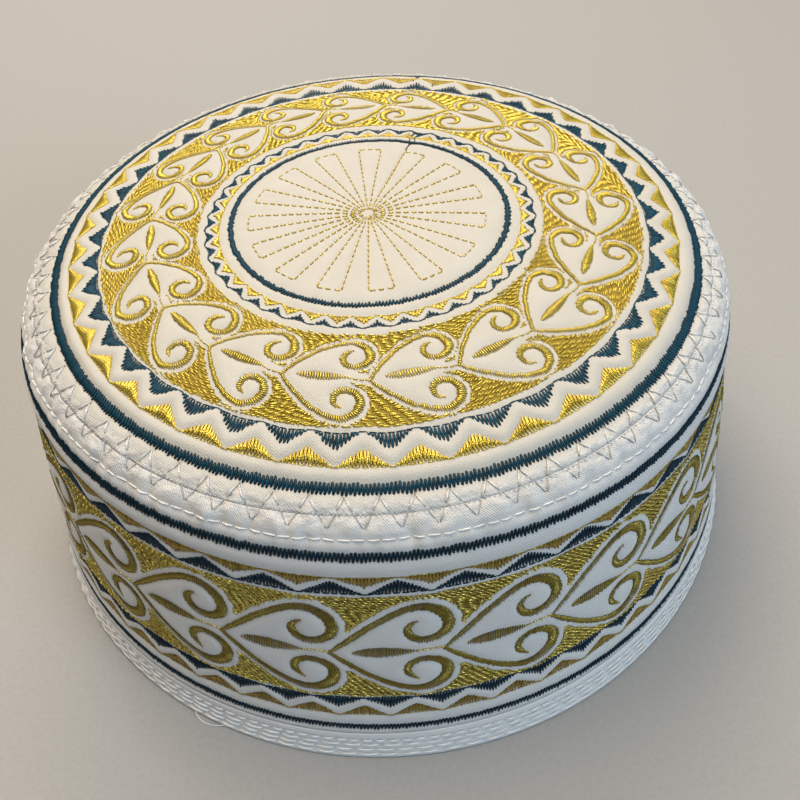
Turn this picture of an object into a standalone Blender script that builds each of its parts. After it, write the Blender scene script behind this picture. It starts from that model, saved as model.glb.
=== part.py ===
"""A stiff round prayer cap: a domed crown panel, a side panel that widens downwards, and a doubled hem.

Standing on its hem with the front at -Y. Lengths in the tables are millimetres, the model is in metres.
Every wall is a closed outline turned about the cap's axis, then puckered along the seam and raised a
little at the back, as the sewn cap is.
"""

import math
from typing import NamedTuple

import bmesh
import bpy
from mathutils import Vector

MM = 0.001

# Driving dimensions, in millimetres
HEM_RADIUS = 91.2
HEM_TOP = 8.5
HEM_TOP_RADIUS = 88.95
CROWN_HEIGHT = 77.3
SHOULDER_RADIUS = 80.0
SHOULDER_HEIGHT = 62.8
SEAM_RADIUS = 75.2
SEAM_HEIGHT = 68.3
SEAM_DEPTH = 0.5
SEAM_GAP = 0.35
CLOTH_WALL = 2.5
HEM_WALL = 3.0

# Puckers: one lobe of the padded roll for each point of the zigzag that is sewn over the seam
PUCKERS = 73
PUCKER_DEPTH = 0.35
PUCKER_REACH = 5.0

# The crown's edge and the side's top stand higher at the back than at the front
BACK_RISE = 2.62
RISE_OUTWARD = 0.25
RISE_STARTS = 57.3
RISE_FULL = 71.4

# Steps of the turned walls: two for each pucker, and a number that four quarters share for the hem
WALL_STEPS = 2 * PUCKERS
HEM_STEPS = 72

# Hem: heights of its four stitch rows, how deep they lie, and how far its bottom edge is rounded
HEM_ROWS = (7.9, 5.6, 4.0, 2.4)
HEM_GROOVE = 0.25
HEM_ROUND = 0.8

SIDE_SLOPE = (HEM_TOP_RADIUS - SHOULDER_RADIUS) / (SHOULDER_HEIGHT - HEM_TOP)
SIDE_LEAN = 90 - math.degrees(math.atan(SIDE_SLOPE))
SEAM_LEAN = 33.7


class Section(NamedTuple):
    """A round of the outer face: its radius and height, the angle from straight up that it faces,
    how far it is drawn in there, and whether the inner face has a corner there too."""

    radius: float
    height: float
    lean: float
    sink: float = 0.0
    lined: bool = True


class Finish(NamedTuple):
    """A cloth finish: base colour, roughness and metallic value."""

    colour: tuple
    roughness: float
    metallic: float


# Crown, from its middle to the seam
CROWN_SECTIONS = (
    Section(0.0, 77.2, 0.0),
    Section(16.0, CROWN_HEIGHT, 0.0, lined=False),
    Section(30.8, CROWN_HEIGHT, 1.5),
    Section(48.0, 76.4, 4.5),
    Section(60.2, 74.8, 11.0),
    Section(66.0, 73.2, 19.0, lined=False),
    Section(71.4, 70.7, 28.0),
    Section(73.6, 69.6, 30.0, lined=False),
    Section(74.5, 69.0, SEAM_LEAN, lined=False),
)

# Side, from the seam over the padded roll and down to the hem
SIDE_SECTIONS = (
    Section(76.1, 67.9, 36.0, lined=False),
    Section(77.2, 67.0, 44.0, lined=False),
    Section(78.4, 65.6, 53.0),
    Section(79.3, 64.2, 65.0, lined=False),
    Section(SHOULDER_RADIUS, SHOULDER_HEIGHT, 76.0),
)

FINISHES = {
    "crown_cloth": Finish((0.83, 0.78, 0.70), 0.75, 0.0),
    "side_cloth": Finish((0.60, 0.55, 0.35), 0.7, 0.0),
    "hem_cloth": Finish((0.80, 0.78, 0.74), 0.8, 0.0),
}


def clear_scene():
    """Take out whatever objects the file starts with."""
    for each in list(bpy.data.objects):
        bpy.data.objects.remove(each, do_unlink=True)


def cloth(name):
    """The Principled material of a cloth."""
    finish = FINISHES[name]
    made = bpy.data.materials.new(name)
    made.use_nodes = True
    shader = made.node_tree.nodes["Principled BSDF"]
    shader.inputs["Base Color"].default_value = (*finish.colour, 1.0)
    shader.inputs["Roughness"].default_value = finish.roughness
    shader.inputs["Metallic"].default_value = finish.metallic
    return made


def facing(lean):
    """Unit vector (outward, up) of a face that leans this many degrees from straight up."""
    return math.sin(math.radians(lean)), math.cos(math.radians(lean))


def drawn_in(section, depth):
    """The point this deep under a section's round of the outer face, as (radius, height)."""
    outward, up = facing(section.lean)
    return section.radius - depth * outward, section.height - depth * up


def seam_edge(side):
    """The edge of the crown (side -1) or of the side panel (side +1) where the two meet in the seam."""
    outward, up = facing(SEAM_LEAN)
    shift = side * SEAM_GAP / 2
    return Section(SEAM_RADIUS + shift * up, SEAM_HEIGHT - shift * outward, SEAM_LEAN, SEAM_DEPTH)


def side_radius(height):
    """Radius of the side's straight outer face at this height, down to the hem."""
    return SHOULDER_RADIUS + (SHOULDER_HEIGHT - height) * SIDE_SLOPE


def hem_radius(height):
    """Radius of the hem's outer face at this height: it flares a little more than the side."""
    share = (HEM_TOP - height) / (HEM_TOP - HEM_ROUND)
    return HEM_TOP_RADIUS + (HEM_RADIUS - HEM_TOP_RADIUS) * share


def wall_outline(sections, wall):
    """Closed outline of a wall: down its outer face, then back up its inner face."""
    outer = [drawn_in(section, section.sink) for section in sections]
    inner = [drawn_in(section, wall) for section in sections if section.lined]
    return outer + inner[::-1]


def crown_outline():
    """Outline of the crown's wall, which starts and ends on the axis."""
    return wall_outline(CROWN_SECTIONS + (seam_edge(-1),), CLOTH_WALL)


def side_outline():
    """Outline of the side's wall, from the seam down to just over the hem."""
    middle = SHOULDER_HEIGHT / 2
    bottom = HEM_TOP + SEAM_GAP
    straight = tuple(
        Section(side_radius(height), height, SIDE_LEAN) for height in (middle, bottom)
    )
    return wall_outline((seam_edge(1),) + SIDE_SECTIONS + straight, CLOTH_WALL)


def hem_outline():
    """Outline of the hem: ribs between its stitch rows, a rounded edge and the flat that it rests on."""
    top = Section(HEM_TOP_RADIUS, HEM_TOP, SIDE_LEAN)
    outline = [drawn_in(top, 0.0)]
    for row, below in zip(HEM_ROWS, HEM_ROWS[1:] + (HEM_ROUND,)):
        crest = (row + below) / 2
        outline.append((hem_radius(row) - HEM_GROOVE, row))
        outline.append((hem_radius(crest), crest))
    inner_foot = HEM_RADIUS - HEM_WALL
    outline.append((HEM_RADIUS, HEM_ROUND))
    outline.append((HEM_RADIUS - HEM_ROUND, 0.0))
    outline.append((inner_foot + HEM_ROUND / 2, 0.0))
    outline.append((inner_foot, HEM_ROUND))
    outline.append(drawn_in(top, HEM_WALL))
    return outline


def rise_share(radius, height):
    """Share of the back's rise at a place: none in the crown's middle, all at the shoulder, none at the hem."""
    if height < SHOULDER_HEIGHT and radius > RISE_FULL:
        return max(height, 0.0) / SHOULDER_HEIGHT
    reach = (radius - RISE_STARTS) / (RISE_FULL - RISE_STARTS)
    reach = min(max(reach, 0.0), 1.0)
    return reach * reach * (3 - 2 * reach)


def pucker_share(radius, height):
    """Share of a pucker's depth at a place: all in the seam, fading out on both sides of it."""
    away = math.hypot(radius - SEAM_RADIUS, height - SEAM_HEIGHT) / PUCKER_REACH
    return math.cos(min(away, 1.0) * math.pi / 2) ** 2


def sewn(point):
    """Where a point of a plainly turned wall (millimetres) lies once it is puckered and raised."""
    radius = math.hypot(point.x, point.y)
    if radius < RISE_STARTS:
        return point.copy()
    way = Vector((point.x / radius, point.y / radius, 0.0))
    pinch = (1 - math.cos(PUCKERS * math.atan2(way.y, way.x))) / 2
    depth = PUCKER_DEPTH * pinch * pucker_share(radius, point.z)
    outward, up = facing(SEAM_LEAN)
    lift = BACK_RISE * (1 + way.y) / 2 * rise_share(radius, point.z)
    shift = RISE_OUTWARD * lift - depth * outward
    return point + way * shift + Vector((0.0, 0.0, lift - depth * up))


def turned_mesh(name, outline, steps):
    """Mesh of an outline (millimetres, at +X) turned about Z. One that starts on the axis is left open there."""
    on_axis = outline[0][0] == 0.0
    points = [(radius, 0.0, height) for radius, height in outline]
    edges = [(i, i + 1) for i in range(len(points) - 1)]
    if not on_axis:
        edges.append((len(points) - 1, 0))
    profile = bpy.data.meshes.new(name)
    profile.from_pydata(points, edges, [])
    turned = bpy.data.objects.new(name, profile)
    bpy.context.scene.collection.objects.link(turned)
    screw = turned.modifiers.new("turn", "SCREW")
    screw.axis = "Z"
    screw.steps = steps
    screw.render_steps = steps
    screw.use_merge_vertices = True
    screw.merge_threshold = 0.0001
    evaluated = turned.evaluated_get(bpy.context.evaluated_depsgraph_get())
    mesh = bpy.data.meshes.new_from_object(evaluated)
    bpy.data.objects.remove(turned, do_unlink=True)
    bpy.data.meshes.remove(profile)
    mesh.name = name
    return mesh


def add_piece(name, outline, steps, finish, collection):
    """One cloth piece of the cap, as a closed wall."""
    mesh = turned_mesh(name, outline, steps)
    body = bmesh.new()
    body.from_mesh(mesh)
    for vertex in body.verts:
        vertex.co = sewn(vertex.co) * MM
    bmesh.ops.recalc_face_normals(body, faces=body.faces)
    body.to_mesh(mesh)
    body.free()
    mesh.materials.clear()
    mesh.materials.append(cloth(finish))
    mesh.shade_smooth()
    mesh.set_sharp_from_angle(angle=math.radians(40))
    piece = bpy.data.objects.new(name, mesh)
    collection.objects.link(piece)
    return piece


def main():
    """Build the cap's three pieces."""
    clear_scene()
    collection = bpy.data.collections.new("prayer_cap")
    bpy.context.scene.collection.children.link(collection)
    add_piece("crown_panel", crown_outline(), WALL_STEPS, "crown_cloth", collection)
    add_piece("side_panel", side_outline(), WALL_STEPS, "side_cloth", collection)
    add_piece("hem_band", hem_outline(), HEM_STEPS, "hem_cloth", collection)


main()
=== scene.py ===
"""Looks of the embroidered prayer cap: cloth panels, every stitch of thread, floor, light and camera.

All lengths are millimetres until a mesh or the camera is made, which is in metres. A place on the cap's
outer face is an angle and a run: the angle in degrees round the cap, 0 at the front and 90 at its left
(+X), and the run in millimetres along the face from the middle of the crown, over the shoulder and down
to the hem.
"""

import logging
import math
from dataclasses import dataclass, field
from enum import Enum
from functools import cached_property
from typing import NamedTuple, Sequence, Union

import bpy
import numpy as np
from bpy.types import Material, Mesh, Node, NodeSocket, Object, bpy_prop_collection
from mathutils import Matrix, Vector


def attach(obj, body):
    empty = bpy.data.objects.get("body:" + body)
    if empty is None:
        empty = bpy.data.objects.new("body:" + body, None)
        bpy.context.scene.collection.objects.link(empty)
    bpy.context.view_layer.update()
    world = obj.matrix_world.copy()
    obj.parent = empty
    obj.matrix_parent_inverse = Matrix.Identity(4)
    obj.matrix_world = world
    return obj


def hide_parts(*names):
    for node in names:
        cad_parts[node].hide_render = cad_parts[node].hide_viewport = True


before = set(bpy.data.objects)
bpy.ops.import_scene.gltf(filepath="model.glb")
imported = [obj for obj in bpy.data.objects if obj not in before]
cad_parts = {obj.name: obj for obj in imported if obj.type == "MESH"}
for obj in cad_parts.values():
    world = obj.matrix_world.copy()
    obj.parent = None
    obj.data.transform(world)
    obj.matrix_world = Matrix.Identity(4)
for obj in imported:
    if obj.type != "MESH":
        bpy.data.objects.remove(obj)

logging.basicConfig(level=logging.INFO, format="%(message)s")
LOG = logging.getLogger("prayer_cap")

Array = np.ndarray
MM = 0.001
TURN = 360.0
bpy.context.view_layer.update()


class Panel(Enum):
    """The two embroidered panels of the cap."""

    CROWN = "crown"
    SIDE = "side"


class Section(NamedTuple):
    """A round of the cap's outer face: its radius and height."""

    radius: float
    height: float


class Spine(NamedTuple):
    """A point of a satin column's middle line: its place along and across the motif, and the width there."""

    along: float
    across: float
    width: float


class Swing(NamedTuple):
    """A value that changes smoothly round the cap: its mean, a swing to one side, and one to two sides."""

    mean: float = 0.0
    once: float = 0.0
    toward: float = 0.0
    twice: float = 0.0
    twice_toward: float = 0.0

    def at(self, angle: Array) -> Array:
        """The value at each angle."""
        once = self.once * np.cos(np.radians(angle - self.toward))
        return self.mean + once + self.twice * np.cos(2 * np.radians(angle - self.twice_toward))


class Wander(NamedTuple):
    """How a round strays from its even place: on round the cap, in degrees, and outward or down, in mm."""

    turn: Swing = Swing()
    out: Swing = Swing()


@dataclass(frozen=True)
class CapFace:
    """The cap's outer face: a turned outline that is raised at the back and pinched along the seam.

    Attributes:
        sections: Rounds of the outline, from the middle of the crown down to the floor.
        smoothing: Reach over which its corners are rounded.
        shoulder_height: Height from which the back's rise fades down the side, to none at the floor.
        rise_starts: Radius on the crown where the back's rise starts.
        rise_full: Radius where all of it is there.
        back_rise: How much higher the seam stands at the back than at the front.
        rise_outward: How far the face moves outward for each millimetre that it rises.
        falls_from: A radius past which the outline only falls.
        pucker_first: Place of the first pucker, in spacings.
        pucker_reach: How far a pucker reaches to both sides of the seam.
        pucker_unevenness: How far a pucker strays from its even place, in degrees.
    """

    sections: tuple = (
        Section(0.0, 77.2), Section(16.0, 77.3), Section(30.8, 77.3), Section(48.0, 76.4),
        Section(60.2, 74.8), Section(66.0, 73.2), Section(71.4, 70.7), Section(73.6, 69.6),
        Section(75.2, 68.5), Section(76.8, 67.6), Section(78.4, 65.6), Section(80.0, 62.8),
        Section(88.8, 9.6), Section(90.0, 5.0), Section(91.3, 0.0),
    )
    step: float = 0.25
    smoothing: float = 2.5
    seam_radius: float = 75.2
    shoulder_height: float = 62.8
    rise_starts: float = 57.3
    rise_full: float = 71.4
    back_rise: float = 2.62
    rise_outward: float = 0.25
    falls_from: float = 60.0
    puckers: int = 73
    pucker_first: float = 0.17
    pucker_depth: float = 0.4
    pucker_reach: float = 4.5
    pucker_unevenness: float = 0.4
    seed: int = 73

    @cached_property
    def line(self) -> dict[str, Array]:
        """The smoothed outline and the way it faces.

        Returns:
            Arrays with a value for each step: "run", "radius" and "height", and "out" and "up", the outward
            and upward parts of the face's normal.
        """
        rows = np.array(self.sections)
        corners = np.concatenate([[0.0], np.cumsum(np.hypot(*np.diff(rows, axis=0).T))])
        half = int(round(self.smoothing / self.step))
        run = np.arange(0.0, corners[-1], self.step)
        wide = np.arange(-half, len(run) + half) * self.step
        radius = np.sign(wide) * np.interp(np.abs(wide), corners, rows[:, 0])
        height = np.interp(np.abs(wide), corners, rows[:, 1])
        past = np.maximum(wide - corners[-1], 0.0)
        slope = (rows[-1] - rows[-2]) / (corners[-1] - corners[-2])
        radius, height = radius + past * slope[0], height + past * slope[1]
        weights = np.hanning(2 * half + 3)[1:-1]
        weights /= weights.sum()
        radius = np.convolve(radius, weights, "valid")
        height = np.convolve(height, weights, "valid")
        radius[0] = 0.0
        outward, up = -np.gradient(height), np.gradient(radius)
        size = np.hypot(outward, up)
        outward[0] = 0.0
        return {"run": run, "radius": radius, "height": height, "out": outward / size, "up": up / size}

    @cached_property
    def rise_share(self) -> Array:
        """Share of the back's rise at each step of the outline.

        Returns:
            A share from 0 to 1 for each step.
        """
        radius, height = self.line["radius"], self.line["height"]
        reach = np.clip((radius - self.rise_starts) / (self.rise_full - self.rise_starts), 0.0, 1.0)
        share = reach * reach * (3 - 2 * reach)
        low = (height < self.shoulder_height) & (radius > self.rise_full)
        return np.where(low, np.maximum(height, 0.0) / self.shoulder_height, share)

    @cached_property
    def seam_run(self) -> float:
        """Run of the seam between the crown and the side."""
        return float(self.run_at_radius(self.seam_radius))

    @cached_property
    def pucker_angles(self) -> Array:
        """Angles of the puckers, a little uneven as sewn by hand.

        Returns:
            The angles in rising order, and the first one again a turn later.
        """
        rng = np.random.default_rng(self.seed)
        angles = (np.arange(self.puckers) + self.pucker_first) * TURN / self.puckers
        angles += rng.uniform(-1, 1, self.puckers) * self.pucker_unevenness
        return np.append(angles, angles[0] + TURN)

    def run_at_radius(self, radius: Array | float) -> Array:
        """Run of a radius, on the crown."""
        return np.interp(radius, self.line["radius"], self.line["run"])

    def run_at_height(self, height: Array | float) -> Array:
        """Run of a height, on the side."""
        start = int(self.run_at_radius(self.falls_from) / self.step)
        return np.interp(height, self.line["height"][:start:-1], self.line["run"][:start:-1])

    def radius_at(self, run: Array | float) -> Array:
        """Radius of a run."""
        return np.interp(run, self.line["run"], self.line["radius"])

    def height_at(self, run: Array | float) -> Array:
        """Height of a run."""
        return np.interp(run, self.line["run"], self.line["height"])

    def pinch(self, angle: Array) -> Array:
        """How far the puckers pull the cloth in.

        Args:
            angle: Angles round the cap.

        Returns:
            A share for each angle, from 0 between two puckers to 1 in one.
        """
        turned = self.pucker_angles[0] + np.mod(angle - self.pucker_angles[0], TURN)
        index = np.interp(turned, self.pucker_angles, np.arange(self.puckers + 1))
        return (1 + np.cos(2 * math.pi * index)) / 2

    def place(self, angle: Array, run: Array, lift: Array | float = 0.0) -> Array:
        """Points of the worn-in cap, in metres.

        Args:
            angle: Angles round the cap.
            run: Runs along the face.
            lift: How far each point stands off the face; negative is inside the cloth.

        Returns:
            An array of the angles' shape with x, y and z last.
        """
        line = self.line
        out, up = (np.interp(run, line["run"], line[key]) for key in ("out", "up"))
        share = np.interp(run, line["run"], self.rise_share)
        away = np.minimum(np.abs(run - self.seam_run) / self.pucker_reach, 1.0)
        depth = self.pucker_depth * np.cos(away * math.pi / 2) ** 2 * self.pinch(angle)
        turn = np.radians(angle)
        rise = self.back_rise * (1 - np.cos(turn)) / 2 * share
        radius = self.radius_at(run) + (lift - depth) * out + self.rise_outward * rise
        height = self.height_at(run) + (lift - depth) * up + rise
        return np.stack([radius * np.sin(turn), -radius * np.cos(turn), np.maximum(height, 0.0)], -1) * MM


@dataclass
class Stitches:
    """Straight stitches on the cap's face.

    Attributes:
        start: One (angle, run) row for each stitch.
        end: The same at its other end.
        arch: How high the thread bows off the cloth.
        tone: Shade of the thread, from 0, dark, to 1, bright.
    """

    start: Array
    end: Array
    width: Array
    arch: Array
    tone: Array

    @classmethod
    def sewn(cls, start: Array, end: Array, width: Array | float, arch: Array | float,
             tone: Array | float) -> "Stitches":
        """Make stitches from their ends.

        Args:
            start: One (angle, run) row for each stitch.
            end: The same at its other end.
            width: Width of the thread, one for all or one for each stitch.
            arch: How high it bows off the cloth, likewise.
            tone: Its shade from 0 to 1, likewise.

        Returns:
            The stitches.
        """
        start, end = np.atleast_2d(start).astype(float), np.atleast_2d(end).astype(float)
        spread = [np.broadcast_to(np.asarray(each, float), len(start)).copy() for each in (width, arch, tone)]
        return cls(start, end, *spread)

    @classmethod
    def joined(cls, groups: Sequence["Stitches"]) -> "Stitches":
        """All the stitches of several groups in one."""
        return cls(*(np.concatenate([getattr(each, name) for each in groups])
                     for name in ("start", "end", "width", "arch", "tone")))

    def wandered(self, wander: Wander) -> "Stitches":
        """Let the stitches stray from their even places.

        Args:
            wander: How far they stray, by angle.

        Returns:
            These same stitches, moved.
        """
        for places in (self.start, self.end):
            places[:, 0] += wander.turn.at(places[:, 0])
            places[:, 1] += wander.out.at(places[:, 0])
        return self

    def at(self, share: Array) -> tuple[Array, Array]:
        """Angles and runs at the given shares of every stitch's length, one row for each stitch."""
        both = self.start[:, None, :] + (self.end - self.start)[:, None, :] * share[None, :, None]
        return both[..., 0], both[..., 1]

    def length(self, face: CapFace) -> Array:
        """Length of every stitch, in millimetres."""
        across = np.radians(self.end[:, 0] - self.start[:, 0]) * face.radius_at(self.start[:, 1])
        return np.hypot(across, self.end[:, 1] - self.start[:, 1])


def bell(value: Array, middle: float, spread: float) -> Array:
    """A smooth hump: 1 at its middle, and next to nothing past twice its spread."""
    return np.exp(-((value - middle) / spread) ** 2)


class Ripple(NamedTuple):
    """A ripple of the cloth along the seam: its height, its run past the seam, and how wide it spreads."""

    height: float
    past: float
    spread: float

    def at(self, away: Array) -> Array:
        """Its height at each run past the seam."""
        return self.height * bell(away, self.past, self.spread)


@dataclass
class Relief:
    """How far the cloth puffs up between the stitches that hold it down, on a grid of angle and run.

    Attributes:
        samples: Places along a stitch at which it presses.
        least_radius: Radius within which the cells count as no smaller, so that the middle works too.
        thread_reach: How far a thread holds the cloth to its sides.
        near_reach: How far the cloth is held down sharply from there.
        far_reach: How far it is held down softly.
        sunk: How far the cloth lies in where it is held.
        crumples: Small creases on the seam.
        crumple_grain: Size of one round the cap and along the run.
        folds: Longer creases just below the seam.
        groove_limits: Least and most depth of the seam's groove, over its mean.
        weight: How much thread holds each cell.
        lift: How far the cloth stands off the face there.
        underlay: Share of each cell that hidden thread fills; it sets where the cloth turns dark under the
            gold fill, partly hidden thread and partly painted shade.
    """

    face: CapFace
    columns: int = 3600
    samples: int = 16
    least_radius: float = 2.0
    margin: int = 40
    thread_reach: float = 0.3
    near_reach: float = 0.5
    far_reach: float = 1.7
    near_puff: float = 0.62
    far_puff: float = 0.42
    sunk: float = 0.5
    crumples: Ripple = Ripple(0.12, 0.4, 2.4)
    crumple_grain: tuple = (0.5, 0.22)
    folds: Ripple = Ripple(0.204, 4.0, 2.6)
    fold_grain: tuple = (0.6, 2.0)
    ridges: Ripple = Ripple(0.1, 1.3, 0.6)
    ridge_unevenness: float = 0.5
    groove: Ripple = Ripple(0.05, 0.0, 0.5)
    groove_unevenness: float = 0.6
    groove_limits: tuple = (0.2, 2.0)
    seed: int = 5
    weight: Array = field(init=False)
    lift: Array = field(init=False)
    underlay: Array = field(init=False)

    def __post_init__(self) -> None:
        """Start with bare cloth."""
        self.weight = np.zeros((len(self.face.line["run"]), self.columns))
        self.lift = np.zeros_like(self.weight)
        self.underlay = np.zeros_like(self.weight)

    def cells(self, angle: Array, run: Array) -> tuple[Array, Array]:
        """Row and column of the grid for each place, with parts of a cell."""
        row = np.clip(run / self.face.step, 0, len(self.weight) - 1.001)
        return row, np.mod(angle / TURN * self.columns, self.columns)

    def press(self, stitches: Stitches, pull: float, underlaid: bool) -> None:
        """Hold the cloth down where these stitches lie.

        Args:
            stitches: The stitches.
            pull: How hard they pull; satin's is 1.
            underlaid: Whether more gold thread lies hidden under them, which darkens the cloth there: partly
                the hidden thread, partly painted shade of the stitches.
        """
        share = (np.arange(self.samples) + 0.5) / self.samples
        angle, run = stitches.at(share)
        row, column = self.cells(angle, run)
        radius = np.maximum(self.face.radius_at(run), self.least_radius)
        cell = self.face.step * radius * 2 * math.pi / self.columns
        area = (stitches.length(self.face) * stitches.width)[:, None] / self.samples
        place = (np.round(row).astype(int), np.round(column).astype(int) % self.columns)
        np.add.at(self.weight, place, pull * area / cell)
        if underlaid:
            np.add.at(self.underlay, place, area / cell)

    def blurred(self, grid: Array, reach: float, along: float | None = None) -> Array:
        """Smooth a grid over a distance on the face.

        Args:
            grid: A value for each cell.
            reach: Reach of the smoothing, in millimetres.
            along: Its reach along the run, where it is another.

        Returns:
            The smoothed grid.
        """
        radius = np.maximum(self.face.line["radius"], self.least_radius)[:, None]
        waves = np.fft.rfft(grid, axis=1)
        waves *= np.exp(-0.5 * (reach / radius * np.arange(waves.shape[1])) ** 2)
        grid = np.fft.irfft(waves, n=self.columns, axis=1)
        grid = np.pad(grid, ((self.margin, self.margin), (0, 0)), "edge")
        waves = np.fft.rfft(grid, axis=0)
        reach = along or reach
        turns = 2 * math.pi * np.arange(len(waves)) / len(grid)
        waves *= np.exp(-0.5 * (reach / self.face.step * turns) ** 2)[:, None]
        return np.fft.irfft(waves, n=len(grid), axis=0)[self.margin:-self.margin]

    def settle(self) -> None:
        """Work out the cloth's lift from everything that was pressed."""
        held = np.clip(self.blurred(self.weight, self.thread_reach), 0.0, 1.0)
        near = 1 - np.clip(self.blurred(held, self.near_reach), 0.0, 1.0)
        far = 1 - np.clip(self.blurred(held, self.far_reach), 0.0, 1.0)
        self.lift = self.near_puff * near + self.far_puff * far - self.sunk
        self.crease_seam()
        self.underlay = np.clip(self.blurred(self.underlay, self.thread_reach), 0.0, 1.0)

    def crease_seam(self) -> None:
        """Add the creases, the welt and the groove that the seam gives the cloth."""
        away = (self.face.line["run"] - self.face.seam_run)[:, None]
        noise = np.random.default_rng(self.seed).standard_normal(self.weight.shape)
        crumple = self.blurred(noise, *self.crumple_grain)
        fold = self.blurred(noise[::-1], *self.fold_grain)
        crumple, fold = crumple / crumple.std(), fold / fold.std()
        self.lift += crumple * self.crumples.at(away) + fold * self.folds.at(away)
        self.lift += self.ridges.at(np.abs(away)) * (1 + self.ridge_unevenness * crumple)
        self.lift -= self.groove.at(away) * np.clip(1 + self.groove_unevenness * fold, *self.groove_limits)

    def at(self, angle: Array, run: Array) -> Array:
        """The cloth's lift at each place."""
        return self.read(self.lift, angle, run)

    def read(self, grid: Array, angle: Array, run: Array) -> Array:
        """Read a grid at the given places.

        Args:
            grid: A value for each cell.
            angle: Angles round the cap.
            run: Runs along the face.

        Returns:
            The values, blended between cells.
        """
        row, column = self.cells(angle, run)
        top, left = row.astype(int), column.astype(int)
        down, over = row - top, column - left
        left, right = left % self.columns, (left + 1) % self.columns
        upper = grid[top, left] * (1 - over) + grid[top, right] * over
        lower = grid[top + 1, left] * (1 - over) + grid[top + 1, right] * over
        return upper * (1 - down) + lower * down


class Value:
    """A socket of a material, on which sums are written as plain expressions."""

    def __init__(self, sheet: "NodeSheet", socket: NodeSocket) -> None:
        """Hold a socket and the node sheet that it is on."""
        self.sheet = sheet
        self.socket = socket

    def __add__(self, other: "Value | float") -> "Value":
        """Sum."""
        return self.sheet.maths("ADD", self, other)

    __radd__ = __add__

    def __sub__(self, other: "Value | float") -> "Value":
        """Difference."""
        return self.sheet.maths("SUBTRACT", self, other)

    def __rsub__(self, other: "Value | float") -> "Value":
        """Difference from a plain number."""
        return self.sheet.maths("SUBTRACT", other, self)

    def __mul__(self, other: "Value | float") -> "Value":
        """Product."""
        return self.sheet.maths("MULTIPLY", self, other)

    __rmul__ = __mul__

    def __pow__(self, other: "Value | float") -> "Value":
        """Power."""
        return self.sheet.maths("POWER", self, other)

    def __rpow__(self, other: "Value | float") -> "Value":
        """Power of a plain number."""
        return self.sheet.maths("POWER", other, self)

    def sine(self) -> "Value":
        """Sine."""
        return self.sheet.maths("SINE", self)

    def clamped(self) -> "Value":
        """Kept from 0 to 1."""
        node = self.sheet.node("ShaderNodeClamp", {}, {"Value": self})
        return Value(self.sheet, node.outputs[0])


Fed = Union[Value, NodeSocket, float, tuple]


class NodeSheet:
    """The node tree of one material."""

    def __init__(self, name: str) -> None:
        """Make a material with a Principled shader.

        Args:
            name: Name of the material.
        """
        self.material = bpy.data.materials.new(name)
        self.material.use_nodes = True
        self.tree = self.material.node_tree
        self.shader = self.tree.nodes["Principled BSDF"]

    def node(self, kind: str, settings: dict, inputs: dict) -> Node:
        """Add a node.

        Args:
            kind: The node's type.
            settings: Its settings, set before its sockets.
            inputs: Values or links of its sockets, by name or number.

        Returns:
            The new node.
        """
        made = self.tree.nodes.new(kind)
        for name, value in settings.items():
            setattr(made, name, value)
        for name, value in inputs.items():
            self.feed(made.inputs[name], value)
        return made

    def feed(self, socket: NodeSocket, value: Fed) -> None:
        """Feed a socket.

        Args:
            socket: The socket to feed.
            value: A value or socket to link to it, or the plain number or colour to set on it.
        """
        if isinstance(value, Value):
            value = value.socket
        if isinstance(value, NodeSocket):
            self.tree.links.new(value, socket)
        else:
            socket.default_value = value

    def paint(self, looks: dict[str, Fed]) -> None:
        """Feed the shader's sockets, by their names."""
        for name, value in looks.items():
            self.feed(self.shader.inputs[name], value)

    def emboss(self, height: Value, strength: float, depth: float) -> None:
        """Bump the surface by a height; the depth is in metres."""
        bump = self.node("ShaderNodeBump", {}, {"Strength": strength, "Distance": depth, "Height": height})
        self.feed(self.shader.inputs["Normal"], bump.outputs[0])

    def maths(self, operation: str, *terms: Value | float) -> Value:
        """One sum on numbers."""
        made = self.node("ShaderNodeMath", {"operation": operation}, dict(enumerate(terms)))
        return Value(self, made.outputs[0])

    def mixed(self, share: Fed, first: Fed, second: Fed) -> NodeSocket:
        """Mix two colours.

        Args:
            share: Share of the second colour, from 0 to 1.
            first: One colour, plain or from a socket.
            second: The other colour.

        Returns:
            The socket of the mixed colour.
        """
        made = self.node("ShaderNodeMix", {"data_type": "RGBA"}, {"Factor": share})
        for socket, value in ((made.inputs[6], first), (made.inputs[7], second)):
            self.feed(socket, (*value, 1.0) if isinstance(value, tuple) else value)
        return made.outputs[2]

    def attribute(self, name: str) -> Value:
        """A number that the mesh carries at its points."""
        made = self.node("ShaderNodeAttribute", {"attribute_name": name}, {})
        return Value(self, made.outputs["Fac"])

    def noise(self, scale: float, detail: float, vector: NodeSocket | None = None) -> Value:
        """Add smooth noise.

        Args:
            scale: Waves of the noise for each unit of its coordinates.
            detail: How many finer layers lie over them.
            vector: Coordinates to follow in place of the Object ones, which are in metres.

        Returns:
            The noise, from 0 to 1.
        """
        if vector is None:
            vector = self.node("ShaderNodeTexCoord", {}, {}).outputs["Object"]
        made = self.node("ShaderNodeTexNoise", {}, {"Vector": vector, "Scale": scale, "Detail": detail})
        return Value(self, made.outputs[0])


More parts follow.
